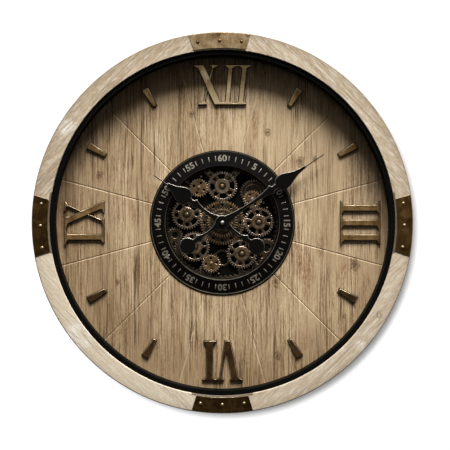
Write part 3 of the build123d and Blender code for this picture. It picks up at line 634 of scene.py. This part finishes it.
def finish_piece(name, maker, names, body, smooth_angle=40.0, replaced=None):
    """Makes an object of what was gathered, smooths its round faces, gives it its finishes and sets it riding. It may
    replace a CAD node."""
    bmesh.ops.recalc_face_normals(maker, faces=maker.faces)
    for line in maker.edges:
        one_finish = len({face.material_index for face in line.link_faces}) == 1
        line.smooth = one_finish and line.calc_face_angle(pi) < radians(smooth_angle)
    for face in maker.faces:
        face.smooth = True
    mesh = bpy.data.meshes.new(name)
    maker.to_mesh(mesh)
    maker.free()
    for finish in names:
        mesh.materials.append(finishes[finish])
    piece = bpy.data.objects.new(name, mesh)
    bpy.context.scene.collection.objects.link(piece)
    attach(piece, body)
    if replaced:
        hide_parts(replaced)


def add_ring(maker, place, radius, height, sides):
    """Ring of points about a place's own z."""
    turns = [2 * pi * index / sides for index in range(sides)]
    return [maker.verts.new(place @ Vector((radius * cos(turn), radius * sin(turn), height))) for turn in turns]


def skin(maker, lower, upper, finish=0):
    """Faces between two closed rings of points."""
    for index in range(len(lower)):
        after = (index + 1) % len(lower)
        face = maker.faces.new((lower[index], lower[after], upper[after], upper[index]))
        face.material_index = finish


def add_turned(maker, profile, place, sides=24, open_top=False):
    """Turns a profile of (radius, height) about a place's own z, closes its ends and gives the top ring."""
    rings = [add_ring(maker, place, radius, height, sides) for radius, height in profile]
    for lower, upper in zip(rings, rings[1:]):
        skin(maker, lower, upper)
    maker.faces.new(rings[0][::-1])
    if not open_top:
        maker.faces.new(rings[-1])
    return rings[-1]


# Part of a step that stays flat on top of a dome
dome_top = 0.4


def dome(radius, height, foot=0.0, steps=5):
    """Profile of a domed head that rises from a straight foot."""
    profile = [(radius, 0.0), (radius, foot)] if foot else [(radius, 0.0)]
    for step in range(1, steps + 1):
        turn = pi / 2 * step / (steps + dome_top)
        profile.append((radius * cos(turn), foot + (height - foot) * sin(turn)))
    return profile


bar_slope_share = 0.18


def add_bar(maker, width, length, thickness, place, far_width=None):
    """Flat bar with bevelled upper edges, centred on a place, its length along y. Its far end may be narrower."""
    far = far_width or width
    slope = min(width, far, length) * bar_slope_share
    lower = [(-width / 2, -length / 2), (width / 2, -length / 2), (far / 2, length / 2), (-far / 2, length / 2)]
    upper = [(x - slope * (1 if x > 0 else -1), y - slope * (1 if y > 0 else -1)) for x, y in lower]
    foot = [maker.verts.new(place @ Vector((x, y, 0.0))) for x, y in lower]
    head = [maker.verts.new(place @ Vector((x, y, thickness))) for x, y in upper]
    maker.faces.new(foot[::-1])
    maker.faces.new(head)
    skin(maker, foot, head)


# Plates cut to the outline of a CAD face, with their front edges rounded over
flat_within = 0.02 * mm
straight_within = 0.002
parallel_within = 1e-12
sharpest_corner = 0.35


def flat_outlines(node, depth):
    """Closed outlines of a node's flat face at a depth, as points (x, z). On a front face the metal lies
    left of them."""
    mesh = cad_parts[node].data
    following = {}
    for face in mesh.polygons:
        corners = [mesh.vertices[index].co for index in face.vertices]
        if all(abs(corner.y + depth) < flat_within for corner in corners):
            spots = [(round(corner.x, 6), round(corner.z, 6)) for corner in corners]
            for start, end in zip(spots, spots[1:] + spots[:1]):
                if start in following.get(end, []):
                    following[end].remove(start)
                else:
                    following.setdefault(start, []).append(end)
    outlines = []
    for start in following:
        while following[start]:
            outline = [start]
            spot = following[start].pop()
            while spot != start:
                outline.append(spot)
                spot = following[spot].pop()
            outlines.append(drop_straight([Vector(spot) for spot in outline]))
    return outlines


def neighbours(outline):
    """Each point of a closed outline with the point before it and the point after it."""
    return zip(outline[-1:] + outline[:-1], outline, outline[1:] + outline[:1])


def drop_straight(outline):
    """Leaves out points that lie on a straight run."""
    kept = []
    for before, spot, after in neighbours(outline):
        if abs((spot - before).normalized().cross((after - spot).normalized())) > straight_within:
            kept.append(spot)
    return kept


def room_across(spot, way, lines):
    """Distance from a point of an outline to the outline across from it."""
    nearest = 1.0
    for start, end in lines:
        along = end - start
        slant = way.cross(along)
        if abs(slant) > parallel_within:
            reach = (start - spot).cross(along) / slant
            share = (start - spot).cross(way) / slant
            if flat_within < reach < nearest and 0.0 <= share <= 1.0:
                nearest = reach
    return nearest


def inward_steps(outlines, width, most):
    """For each point of the outlines, its step inwards by a width, or by at most a share of a narrow plate."""
    lines = [(start, end) for outline in outlines for start, end, after in neighbours(outline)]
    steps = []
    for outline in outlines:
        row = []
        for before, spot, after in neighbours(outline):
            first = (spot - before).normalized().orthogonal()
            second = (after - spot).normalized().orthogonal()
            step = (first + second) * (width / max(sharpest_corner, 1.0 + first.dot(second)))
            room = most * room_across(spot, step.normalized(), lines)
            row.append(step if step.length < room else step.normalized() * room)
        steps.append(row)
    return steps


def cap_over(maker, rings):
    """Fills closed rings of points, the inner ones as holes."""
    lines = []
    for ring in rings:
        for before, point, after in neighbours(ring):
            lines.append(maker.edges.get((point, after)))
    bmesh.ops.triangle_fill(maker, use_beauty=True, use_dissolve=False, edges=lines)


rounding_steps = 3


def add_plate(maker, outlines, back, front, width, drop, most=0.28, draft=0.0, side_finish=0):
    """Plate between two depths. Its sides slope in by the draft, a share of the width, and its front edge is rounded
    over the rest of the width and a drop. The rounding takes the second finish."""
    steps = inward_steps(outlines, width, most)
    levels = [(0.0, back)]
    for index in range(rounding_steps + 1):
        turn = pi / 2 * index / rounding_steps
        levels.append((1.0 - (1.0 - draft) * cos(turn), front - drop * (1.0 - sin(turn))))
    stacks = []
    for outline, row in zip(outlines, steps):
        rings = []
        for share, depth in levels:
            spots = [spot + step * share for spot, step in zip(outline, row)]
            rings.append([maker.verts.new((spot.x, -depth, spot.y)) for spot in spots])
        for level, (lower, upper) in enumerate(zip(rings, rings[1:])):
            skin(maker, lower, upper, 1 if level else side_finish)
        stacks.append(rings)
    cap_over(maker, [rings[-1] for rings in stacks])
    cap_over(maker, [rings[0] for rings in stacks])


# Cast numerals and bars: how far they stand off the dial, how wide and deep their front edges are rounded, at most
# over which share of a narrow stroke, and the slope of the sides, whose third finish is part soot and part painted
# shade
numeral_height = 4.2 * mm
bar_height = 4.0 * mm
numeral_casting = (1.7 * mm, 0.8 * mm, 0.28, 0.55, 2)
bar_casting = (2.2 * mm, 1.2 * mm, 0.28, 0.4, 2)
hand_rounding = (0.6 * mm, 0.6 * mm, 0.14)
numeral_finishes = {
    # A lighter copy of the bronze: painted light
    "numeral_twelve": "lit_bronze",
    "numeral_three": "bronze",
    # A darker copy of the bronze: painted shade
    "numeral_six": "dark_bronze",
    "numeral_nine": "bronze",
}


def make_numerals():
    """Cast numerals with rubbed edges and dark sides, part soot and part painted shade."""
    for node, finish in numeral_finishes.items():
        maker = bmesh.new()
        back = back_of(node)
        add_plate(maker, flat_outlines(node, front_of(node)), back, back + numeral_height, *numeral_casting)
        names = [finish, "bronze_edge", "soot_and_shade_bronze"]
        finish_piece(f"cast_{node}", maker, names, case, replaced=node)


def make_hands():
    """Spade hands with bright edges."""
    for node, body in (("hour_hand", "hour"), ("minute_hand", "minute")):
        maker = bmesh.new()
        front = front_of(node)
        add_plate(maker, flat_outlines(node, front), back_of(node), front, *hand_rounding)
        finish_piece(f"spade_{node}", maker, ["black_paint", "black_edge"], body, replaced=node)


def make_markers():
    """Cast bars, the lower ones darker as a painted shade."""
    maker = bmesh.new()
    back = back_of("hour_markers")
    feet = [foot[::-1] for foot in flat_outlines("hour_markers", back)]
    add_plate(maker, feet, back, back + bar_height, *bar_casting)
    # Painted shade: the lower bars take the darker copy of the bronze
    for face in maker.faces:
        if face.material_index == 0 and face.calc_center_median().z < 0.0:
            face.material_index = 3
    names = ["bronze", "bronze_edge", "soot_and_shade_bronze", "dark_bronze"]
    finish_piece("cast_hour_bars", maker, names, case, replaced="hour_markers")


# Raised rings on the wheels: inner radius, outer radius and height
band_slope_share = 0.8
wheel_face = 29.0 * mm
tooth_ring = (19.9 * mm, 20.8 * mm, 0.4 * mm)
top_hub_ring = (9.3 * mm, 11.0 * mm, 0.45 * mm)
top_hub_plate = (6.3 * mm, 9.0 * mm, 0.3 * mm)
hub_plate = (6.3 * mm, 11.0 * mm, 0.3 * mm)
pin_washer = (3.4 * mm, 6.3 * mm, 0.2 * mm)
wheel_bodies = {
    "wheel_top": "top_gear",
    "wheel_left": "left_gear",
    "wheel_right": "right_gear",
    "wheel_lower_left": "lower_left_gear",
    "wheel_lower_right": "lower_right_gear",
}


def add_band(maker, inner, outer, height, place, sides=48):
    """Flat ring with sloping edges."""
    slope = height * band_slope_share
    profile = [(inner, 0.0), (inner + slope, height), (outer - slope, height), (outer, 0.0)]
    rings = [add_ring(maker, place, radius, rise, sides) for radius, rise in profile]
    for lower, upper in zip(rings, rings[1:] + rings[:1]):
        skin(maker, lower, upper)


def make_wheel_rings():
    """Rubbed ring inside the teeth of each wheel, a plate on its hub and a dark washer round its pin."""
    for node, body in wheel_bodies.items():
        at_top = node == "wheel_top"
        web = at_spot(middle_of(node), wheel_face)
        hub = at_spot(middle_of(node), front_of(node))
        plate, plate_finish = (top_hub_plate, "pin_brass") if at_top else (hub_plate, "hub_bronze")
        pieces = [
            ("rings", "gear_edge", [(tooth_ring, web)] + ([(top_hub_ring, hub)] if at_top else [])),
            ("hub_plate", plate_finish, [(plate, hub)]),
            ("washer", "relief_dark", [(pin_washer, hub)]),
        ]
        for name, finish, bands in pieces:
            maker = bmesh.new()
            for sizes, place in bands:
                add_band(maker, *sizes, place)
            finish_piece(f"{node}_{name}", maker, [finish], body)


# Rubbed teeth: gear node, body, teeth, tip radius, inner end of the ridge and its depth
tooth_rows = [(node, body, 36, 24.7 * mm, 20.4 * mm, wheel_face) for node, body in wheel_bodies.items()]
tooth_rows += [
    ("centre_wheel", "centre_gears", 54, 36.4 * mm, 30.6 * mm, wheel_face),
    ("centre_step_gear", "centre_gears", 36, 24.7 * mm, 19.2 * mm, front_of("centre_step_gear")),
]
for node, body in zip(pinions, ("upper_left_pinion", "drive_pinion", "lower_pinion")):
    tooth_rows.append((node, body, 22, 15.6 * mm, 11.9 * mm, front_of(node)))
ridge_foot = 1.7 * mm
ridge_end = 0.9 * mm
ridge_height = 0.35 * mm
ridge_margin = 0.15 * mm
tip_within = 0.4 * mm
# Still gear behind the train: middle, teeth, tip radius, inner end of the ridges, and its ring
still_middle = (49.0 * mm, 49.0 * mm)
still_gear = (30, 20.8 * mm, 16.8 * mm)
still_ring = (12.0 * mm, 13.4 * mm, 0.4 * mm)


def tooth_turn(node, centre, teeth, tip):
    """Turn to the middle of one tooth, read from the tips of a gear's outline."""
    across = upward = 0.0
    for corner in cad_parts[node].data.vertices:
        arm = Vector((corner.co.x, corner.co.z)) - Vector(centre)
        if abs(arm.length - tip) < tip_within:
            turn = teeth * atan2(arm.y, arm.x)
            across += cos(turn)
            upward += sin(turn)
    return atan2(upward, across) / teeth


def add_ridges(maker, node, centre, teeth, tip, inner, depth):
    """A raised ridge along each tooth of a gear."""
    start = tooth_turn(node, centre, teeth, tip)
    outer = tip - ridge_margin
    for index in range(teeth):
        turn = start + 2 * pi * index / teeth - pi / 2
        place = swung(at_spot(centre, depth), turn, (inner + outer) / 2)
        add_bar(maker, ridge_foot, outer - inner, ridge_height, place, ridge_end)


def make_teeth():
    """Teeth rubbed bright on the gears that turn and on a still one behind them."""
    for node, body, teeth, tip, inner, depth in tooth_rows:
        maker = bmesh.new()
        add_ridges(maker, node, middle_of(node), teeth, tip, inner, depth)
        finish = "pinion_edge" if node in pinions else "crown_bronze" if node in stack else "gear_edge"
        finish_piece(f"{node}_teeth", maker, [finish], body)
    maker = bmesh.new()
    floor = front_of("backdrop_gears")
    add_ridges(maker, "backdrop_gears", still_middle, *still_gear, floor)
    add_band(maker, *still_ring, at_spot(still_middle, floor))
    finish_piece("still_gear_teeth", maker, ["relief_edge"], case)


# Ribs along the edges of the bridge's two arms
arm_angles = (45.0, 135.0)
rib_side = 3.8 * mm
rib_inner = 12.0 * mm
rib_outer = 36.0 * mm
rib_width = 1.3 * mm
rib_height = 0.4 * mm


def make_bridge_ribs():
    """Pale ribs on the bridge."""
    maker = bmesh.new()
    hub = at_spot(middle_of("wheel_top"), front_of("train_bridge"))
    for angle in arm_angles:
        for side in (-rib_side, rib_side):
            place = swung(hub, radians(angle) - pi / 2, (rib_inner + rib_outer) / 2, side)
            add_bar(maker, rib_width, rib_outer - rib_inner, rib_height, place)
    finish_piece("bridge_ribs", maker, ["relief_edge"], case)


# Relief wheels on the floor of the pan: centre (x, z), teeth, root radius and hole radius in mm
relief_wheels = [
    ((-62.0, 52.0), 22, 14.0, 8.0),
    ((71.0, -40.0), 20, 13.0, 7.0),
    ((40.0, -70.0), 24, 15.0, 9.0),
    ((-26.0, -76.0), 16, 9.0, 4.5),
    ((-76.0, -20.0), 18, 10.0, 5.0),
]
relief_tooth = 2.8
relief_height = 1.6 * mm
relief_rounding = (0.6 * mm, 0.5 * mm)
# Toothed border round the floor
border_teeth = 70
border_root = 85.0 * mm
border_tip = 88.0 * mm
border_outer = 92.5 * mm
border_sides = 96
border_height = 1.2 * mm
relief_bolts = [(66.0, 32.0), (72.0, 24.0), (-34.0, 74.0), (64.0, -58.0), (-6.0, -82.0)]
bolt_profile = dome(2.0 * mm, 1.4 * mm, 0.4 * mm)
# One tooth of the relief: share of the pitch, and whether the outline is at the tip there
tooth_shape = ((0.0, False), (0.28, False), (0.52, True), (0.76, True))


def polar(centre, radius, turn):
    """Point of an outline at a turn about a centre."""
    return Vector((centre[0] + radius * cos(turn), centre[1] + radius * sin(turn)))


def toothed(centre, teeth, root, tip):
    """Outline of a small wheel with pointed teeth."""
    outline = []
    for index in range(teeth):
        for share, at_tip in tooth_shape:
            outline.append(polar(centre, tip if at_tip else root, 2 * pi * (index + share) / teeth))
    return outline


def hole(centre, radius, sides=32):
    """Outline of a round hole."""
    return [polar(centre, radius, -2 * pi * index / sides) for index in range(sides)]


def make_relief():
    """Still wheels, a toothed border and bolts on the floor behind the train."""
    maker = bmesh.new()
    floor = back_of("wheel_arbors")
    for centre, teeth, root, bore in relief_wheels:
        spot = (centre[0] * mm, centre[1] * mm)
        outlines = [toothed(spot, teeth, root * mm, (root + relief_tooth) * mm), hole(spot, bore * mm)]
        add_plate(maker, outlines, floor, floor + relief_height, *relief_rounding)
    bright_faces = set(maker.faces)
    border = [toothed(axis, border_teeth, border_root, border_tip), hole(axis, border_outer, border_sides)]
    add_plate(maker, [outline[::-1] for outline in border], floor, floor + border_height, *relief_rounding)
    for face in maker.faces:
        if face not in bright_faces:
            face.material_index = 0
    finish_piece("floor_relief", maker, ["relief_dark", "relief_edge"], case)
    maker = bmesh.new()
    for x, z in relief_bolts:
        add_turned(maker, bolt_profile, at_spot((x * mm, z * mm), floor))
    finish_piece("floor_bolts", maker, ["gear_edge"], case)


# Strap nails: smooth domes where the CAD has plain heads, dark on the top strap
strap_turns = {"strap_top": -0.85, "strap_right": 90.8, "strap_bottom": 180.0, "strap_left": 269.0}
nail_step = 6.9
nail_circle = 286.0 * mm
nail_profile = dome(2.6 * mm, 1.6 * mm)
top_strap_height = 0.9 * nail_circle


def make_nails():
    """Domed nails on the straps."""
    maker = bmesh.new()
    for strap, turn in strap_turns.items():
        for step in (-1, 0, 1):
            add_turned(maker, nail_profile, on_dial(turn + step * nail_step, nail_circle, front_of(strap)))
    for face in maker.faces:
        face.material_index = 1 if face.calc_center_median().z > top_strap_height else 0
    finish_piece("strap_nail_domes", maker, ["nail_brass", "dark_bronze"], case, 60.0, "strap_nails")


# Minute ring: its section as (radius, depth) in mm, from the outer foot over the face to the inner foot
ring_section = [
    (116.0, 38.0), (116.0, 38.8), (115.4, 39.3), (114.6, 39.4), (114.2, 39.9), (113.5, 39.9), (113.0, 39.7),
    (91.6, 43.5), (90.7, 43.2), (88.6, 40.9), (88.6, 38.0),
]
rubbed_steps = (3, 4, 5, 7)
face_outer, face_inner = ring_section[6], ring_section[7]
ring_slope = atan2(face_inner[1] - face_outer[1], face_outer[0] - face_inner[0])
ring_sides = 144


def make_ring():
    """Dished ring: high at the opening, thin at its outer edge, with a rubbed bead and inner edge."""
    maker = bmesh.new()
    middle = at_spot(axis, 0.0)
    rings = [add_ring(maker, middle, radius * mm, depth * mm, ring_sides) for radius, depth in ring_section]
    for step, (first, second) in enumerate(zip(rings, rings[1:] + rings[:1])):
        skin(maker, first, second, 1 if step in rubbed_steps else 0)
    finish_piece("dished_minute_ring", maker, ["black_paint", "ring_edge"], case, 25.0, "chapter_ring")


def on_ring(angle, radius):
    """Place on the sloping face of the ring, as on_dial gives it."""
    share = (face_outer[0] * mm - radius) / ((face_outer[0] - face_inner[0]) * mm)
    depth = (face_outer[1] + share * (face_inner[1] - face_outer[1])) * mm
    return on_dial(angle, radius, depth) @ Matrix.Rotation(-ring_slope, 4, "X")


# Minute track on the ring: ticks and numbers
degrees_per_minute = 6.0
tick_inner = 98.7 * mm
tick_outer = 106.7 * mm
tick_width = 1.35 * mm
print_thickness = 0.2 * mm
number_size = 14.3 * mm
number_circle = 102.4 * mm
number_squeeze = 1.03
number_weight = 0.026


def make_ticks():
    """A tick at each minute that has no number."""
    maker = bmesh.new()
    for minute in range(60):
        if minute % 5:
            place = on_ring(degrees_per_minute * minute, (tick_inner + tick_outer) / 2)
            add_bar(maker, tick_width, tick_outer - tick_inner, print_thickness, place)
    finish_piece("minute_ticks", maker, ["minute_ink"], case)


def add_text(maker, words, size, place):
    """Letters of the built-in face as a thin plate, centred on a place."""
    letters = bpy.data.curves.new("letters", "FONT")
    letters.body = words
    letters.size = size
    letters.align_x = "CENTER"
    letters.align_y = "CENTER"
    letters.extrude = print_thickness / 2
    letters.offset = size * number_weight
    letters.resolution_u = 6
    holder = bpy.data.objects.new("letters", letters)
    bpy.context.scene.collection.objects.link(holder)
    bpy.context.view_layer.update()
    mesh = bpy.data.meshes.new_from_object(holder.evaluated_get(bpy.context.evaluated_depsgraph_get()))
    squeeze = Matrix.Diagonal((number_squeeze, 1.0, 1.0, 1.0))
    lift = Matrix.Translation((0.0, 0.0, print_thickness / 2))
    mesh.transform(place @ lift @ squeeze)
    maker.from_mesh(mesh)
    bpy.data.objects.remove(holder)
    bpy.data.curves.remove(letters)
    bpy.data.meshes.remove(mesh)


def make_numbers():
    """Numbers at each fifth minute, feet towards the axis."""
    maker = bmesh.new()
    for minute in range(5, 65, 5):
        add_text(maker, str(minute), number_size, on_ring(degrees_per_minute * minute, number_circle))
    finish_piece("minute_numbers", maker, ["minute_ink"], case)


# Turned pins of the train: radius of the pin, section of the collar at its foot, height and profile of the head
pin_radius = 2.0 * mm
pin_collar = [(4.2 * mm, 0.0), (4.2 * mm, 2.3 * mm), (3.7 * mm, 2.8 * mm), (pin_radius, 2.8 * mm)]
pin_head = 1.7 * mm
pin_head_profile = dome(3.3 * mm, pin_head, 0.5 * mm)
pinned_gears = {"wheel_arbors": wheels, "pinion_arbors": ["pinion_upper_left", "pinion_lower"]}


def make_pins():
    """Smooth pins with domed heads in place of the plain ones."""
    floor = back_of("wheel_arbors")
    for node, gears in pinned_gears.items():
        maker = bmesh.new()
        neck = front_of(node) - floor - pin_head
        head = [(radius, neck + height) for radius, height in pin_head_profile]
        for gear in gears:
            add_turned(maker, [*pin_collar, (pin_radius, neck), *head], at_spot(middle_of(gear), floor))
        finish_piece(f"turned_{node}", maker, ["pin_brass"], case, replaced=node)


# Cap of the hands: a polished button on a dark collar
cap_collar = 1.2 * mm
cap_collar_section = [(4.2 * mm, 0.0), (4.2 * mm, 0.8 * mm), (3.8 * mm, cap_collar)]
button_radius = 3.2 * mm
button_foot = 0.8 * mm
button_steps = 7
cap_sides = 32


def make_cap():
    """Polished button on a dark collar over the end of the hands' axis."""
    seat = back_of("hand_cap")
    maker = bmesh.new()
    add_turned(maker, cap_collar_section, at_spot(axis, seat), cap_sides)
    finish_piece("hand_cap_collar", maker, ["black_paint"], "minute")
    maker = bmesh.new()
    button = dome(button_radius, front_of("hand_cap") - seat - cap_collar, button_foot, button_steps)
    add_turned(maker, button, at_spot(axis, seat + cap_collar), cap_sides)
    finish_piece("hand_cap_button", maker, ["bright_steel"], "minute", replaced="hand_cap")


# Screws that hold the pieces together: shape of the head and of its cross recess, as shares of radius and height
head_shape = ((1.0, 0.0), (1.0, 0.45), (0.93, 0.75), (0.78, 0.95), (0.62, 1.0))
cross_arm = 0.5
cross_half = 0.13
cross_floor = (0.8, 0.4)
# Radius and height of the screws
back_screw = (3.4 * mm, 2.0 * mm)
lug_screw = (2.6 * mm, 1.8 * mm)
bridge_screw = (2.4 * mm, 1.0 * mm)
# Circles of screws in the dial and in the flange of the pan: count, first angle, radius and depth
screw_circles = [(6, 15.0, 275.6 * mm, back_of("dial_board")), (4, 45.0, 105.0 * mm, 26.5 * mm)]
lug_back = 17.0 * mm
lug_inset = 3.4 * mm
bridge_screw_spots = [(-21.5 * mm, 80.0 * mm), (21.5 * mm, 80.0 * mm)]
bridge_screw_seat = 24.3 * mm


def add_screw(maker, radius, height, place):
    """Pan-head screw with a sunk cross."""
    profile = [(radius * share, height * rise) for share, rise in head_shape]
    top = add_turned(maker, profile, place, open_top=True)
    arm, half = radius * cross_arm, radius * cross_half
    quarter = [(arm, -half), (arm, half), (half, half)]
    outline = []
    for quarter_turns in range(4):
        outline += quarter
        quarter = [(-y, x) for x, y in quarter]
    shrink, sink = cross_floor
    lip = [maker.verts.new(place @ Vector((x, y, height))) for x, y in outline]
    floor = [maker.verts.new(place @ Vector((x * shrink, y * shrink, height * sink))) for x, y in outline]
    skin(maker, lip, floor)
    cap_over(maker, [top, lip])
    maker.faces.new(floor)


def make_screws():
    """Screws of the dial, the pan and the motor lugs, seen from behind, and of the bridge, seen from the front."""
    maker = bmesh.new()
    for count, first_angle, radius, depth in screw_circles:
        for index in range(count):
            turn = radians(first_angle + 360.0 / count * index)
            add_screw(maker, *back_screw, at_back(polar(axis, radius, turn), depth))
    low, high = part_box("drive_case")
    for z in (low.z + lug_inset, high.z - lug_inset):
        add_screw(maker, *lug_screw, at_back(((low.x + high.x) / 2, z), lug_back))
    finish_piece("back_screws", maker, ["bright_steel"], case)
    maker = bmesh.new()
    for spot in bridge_screw_spots:
        add_screw(maker, *bridge_screw, at_spot(spot, bridge_screw_seat))
    finish_piece("bridge_screws", maker, ["relief_edge"], case)


make_numerals()
make_hands()
make_markers()
make_wheel_rings()
make_teeth()
make_bridge_ribs()
make_relief()
make_nails()
make_ring()
make_ticks()
make_numbers()
make_pins()
make_cap()
make_screws()


# Wall, lamps and sky
wall_glow = 0.29
wall_reach = 2.2
wall_gap = 0.6 * mm
# Lamps: place, point looked at, power, width and height
lamp_rows = {
    "key": ((0.9, -3.15, 6.4), (0.9, -3.15, 0.0), 1500.0, 5.0, 2.6),
    "fill": ((0.5, -2.9, 0.5), (0.0, 0.0, 0.0), 1.5, 0.5, 0.5),
    "wash": ((-0.36, -3.2, 0.35), (0.0, 0.0, 0.0), 135.0, 0.52, 0.52),
    "behind": ((0.6, 2.2, 1.0), (0.0, 0.0, 0.0), 40.0, 1.5, 1.5),
}


def make_wall():
    """White wall behind the clock: it keeps the shadow, and lets views from behind see the clock's back."""
    maker = bmesh.new()
    low, high = -wall_reach, wall_reach
    corners = [(low, low), (high, low), (high, high), (low, high)]
    maker.faces.new([maker.verts.new((x, wall_gap, z)) for x, z in corners])
    mesh = bpy.data.meshes.new("wall")
    maker.to_mesh(mesh)
    maker.free()
    paint = bpy.data.materials.new("wall_paint")
    paint.use_nodes = True
    tree = paint.node_tree
    tree.nodes.remove(tree.nodes["Principled BSDF"])
    matt = place_node(tree, "ShaderNodeBsdfDiffuse", None, {"Color": grey(0.9)})
    glow = place_node(tree, "ShaderNodeEmission", None, {"Color": grey(1.0), "Strength": 1.0})
    clear = place_node(tree, "ShaderNodeBsdfTransparent")
    white = place_node(tree, "ShaderNodeMixShader")
    side = place_node(tree, "ShaderNodeMixShader")
    backfacing = place_node(tree, "ShaderNodeNewGeometry").outputs["Backfacing"]
    for mixed, share, first, second in (
        (white, times(seen_rays(tree), wall_glow), matt, glow),
        (side, backfacing, white, clear),
    ):
        for socket, source in zip(mixed.inputs, (share, first.outputs[0], second.outputs[0])):
            join(source, socket)
    join(side.outputs[0], tree.nodes["Material Output"].inputs["Surface"])
    mesh.materials.append(paint)
    wall = bpy.data.objects.new("wall", mesh)
    wall.visible_shadow = False
    wall.visible_diffuse = False
    bpy.context.scene.collection.objects.link(wall)
    return wall


def add_lamp(name, place, aim, power, width, height):
    """Soft box that looks at a point."""
    lamp = bpy.data.lights.new(name, "AREA")
    lamp.shape = "RECTANGLE"
    lamp.size = width
    lamp.size_y = height
    lamp.energy = power
    holder = bpy.data.objects.new(name, lamp)
    holder.location = place
    holder.rotation_euler = (Vector(aim) - Vector(place)).to_track_quat("-Z", "Y").to_euler()
    bpy.context.scene.collection.objects.link(holder)
    return holder


def light_only(lamp, wall, state):
    """Lets a lamp light the wall alone, or everything but the wall."""
    lit = bpy.data.collections.new(f"{lamp.name}_lights")
    lit.objects.link(wall)
    lit.collection_objects[0].light_linking.link_state = state
    lamp.light_linking.receiver_collection = lit


def light_up(wall):
    """Soft box above, faint fill, a wash on the wall alone, soft light behind, and a sky that is dark below."""
    for name, row in lamp_rows.items():
        lamp = add_lamp(name, *row)
        lamp.visible_glossy = name != "fill"
        light_only(lamp, wall, "INCLUDE" if name == "wash" else "EXCLUDE")
    sky = bpy.data.worlds.new("sky")
    sky.use_nodes = True
    tree = sky.node_tree
    direction = place_node(tree, "ShaderNodeTexCoord").outputs["Generated"]
    rise = spread(parts_of(direction)["Z"], -1.0, 1.0)
    lighting = shades(rise, [(0.0, grey(0.01)), (0.56, grey(0.012)), (0.8, grey(0.3)), (1.0, grey(0.5))])
    background = shades(rise, [(0.0, grey(0.06)), (0.5, grey(0.08)), (0.6, grey(0.6)), (1.0, grey(1.0))])
    colour = lay_over(seen_rays(tree), lighting, background)
    join(colour, tree.nodes["Background"].inputs["Color"])
    bpy.context.scene.world = sky


set_camera()
light_up(make_wall())
bpy.context.scene.view_settings.view_transform = "Standard"
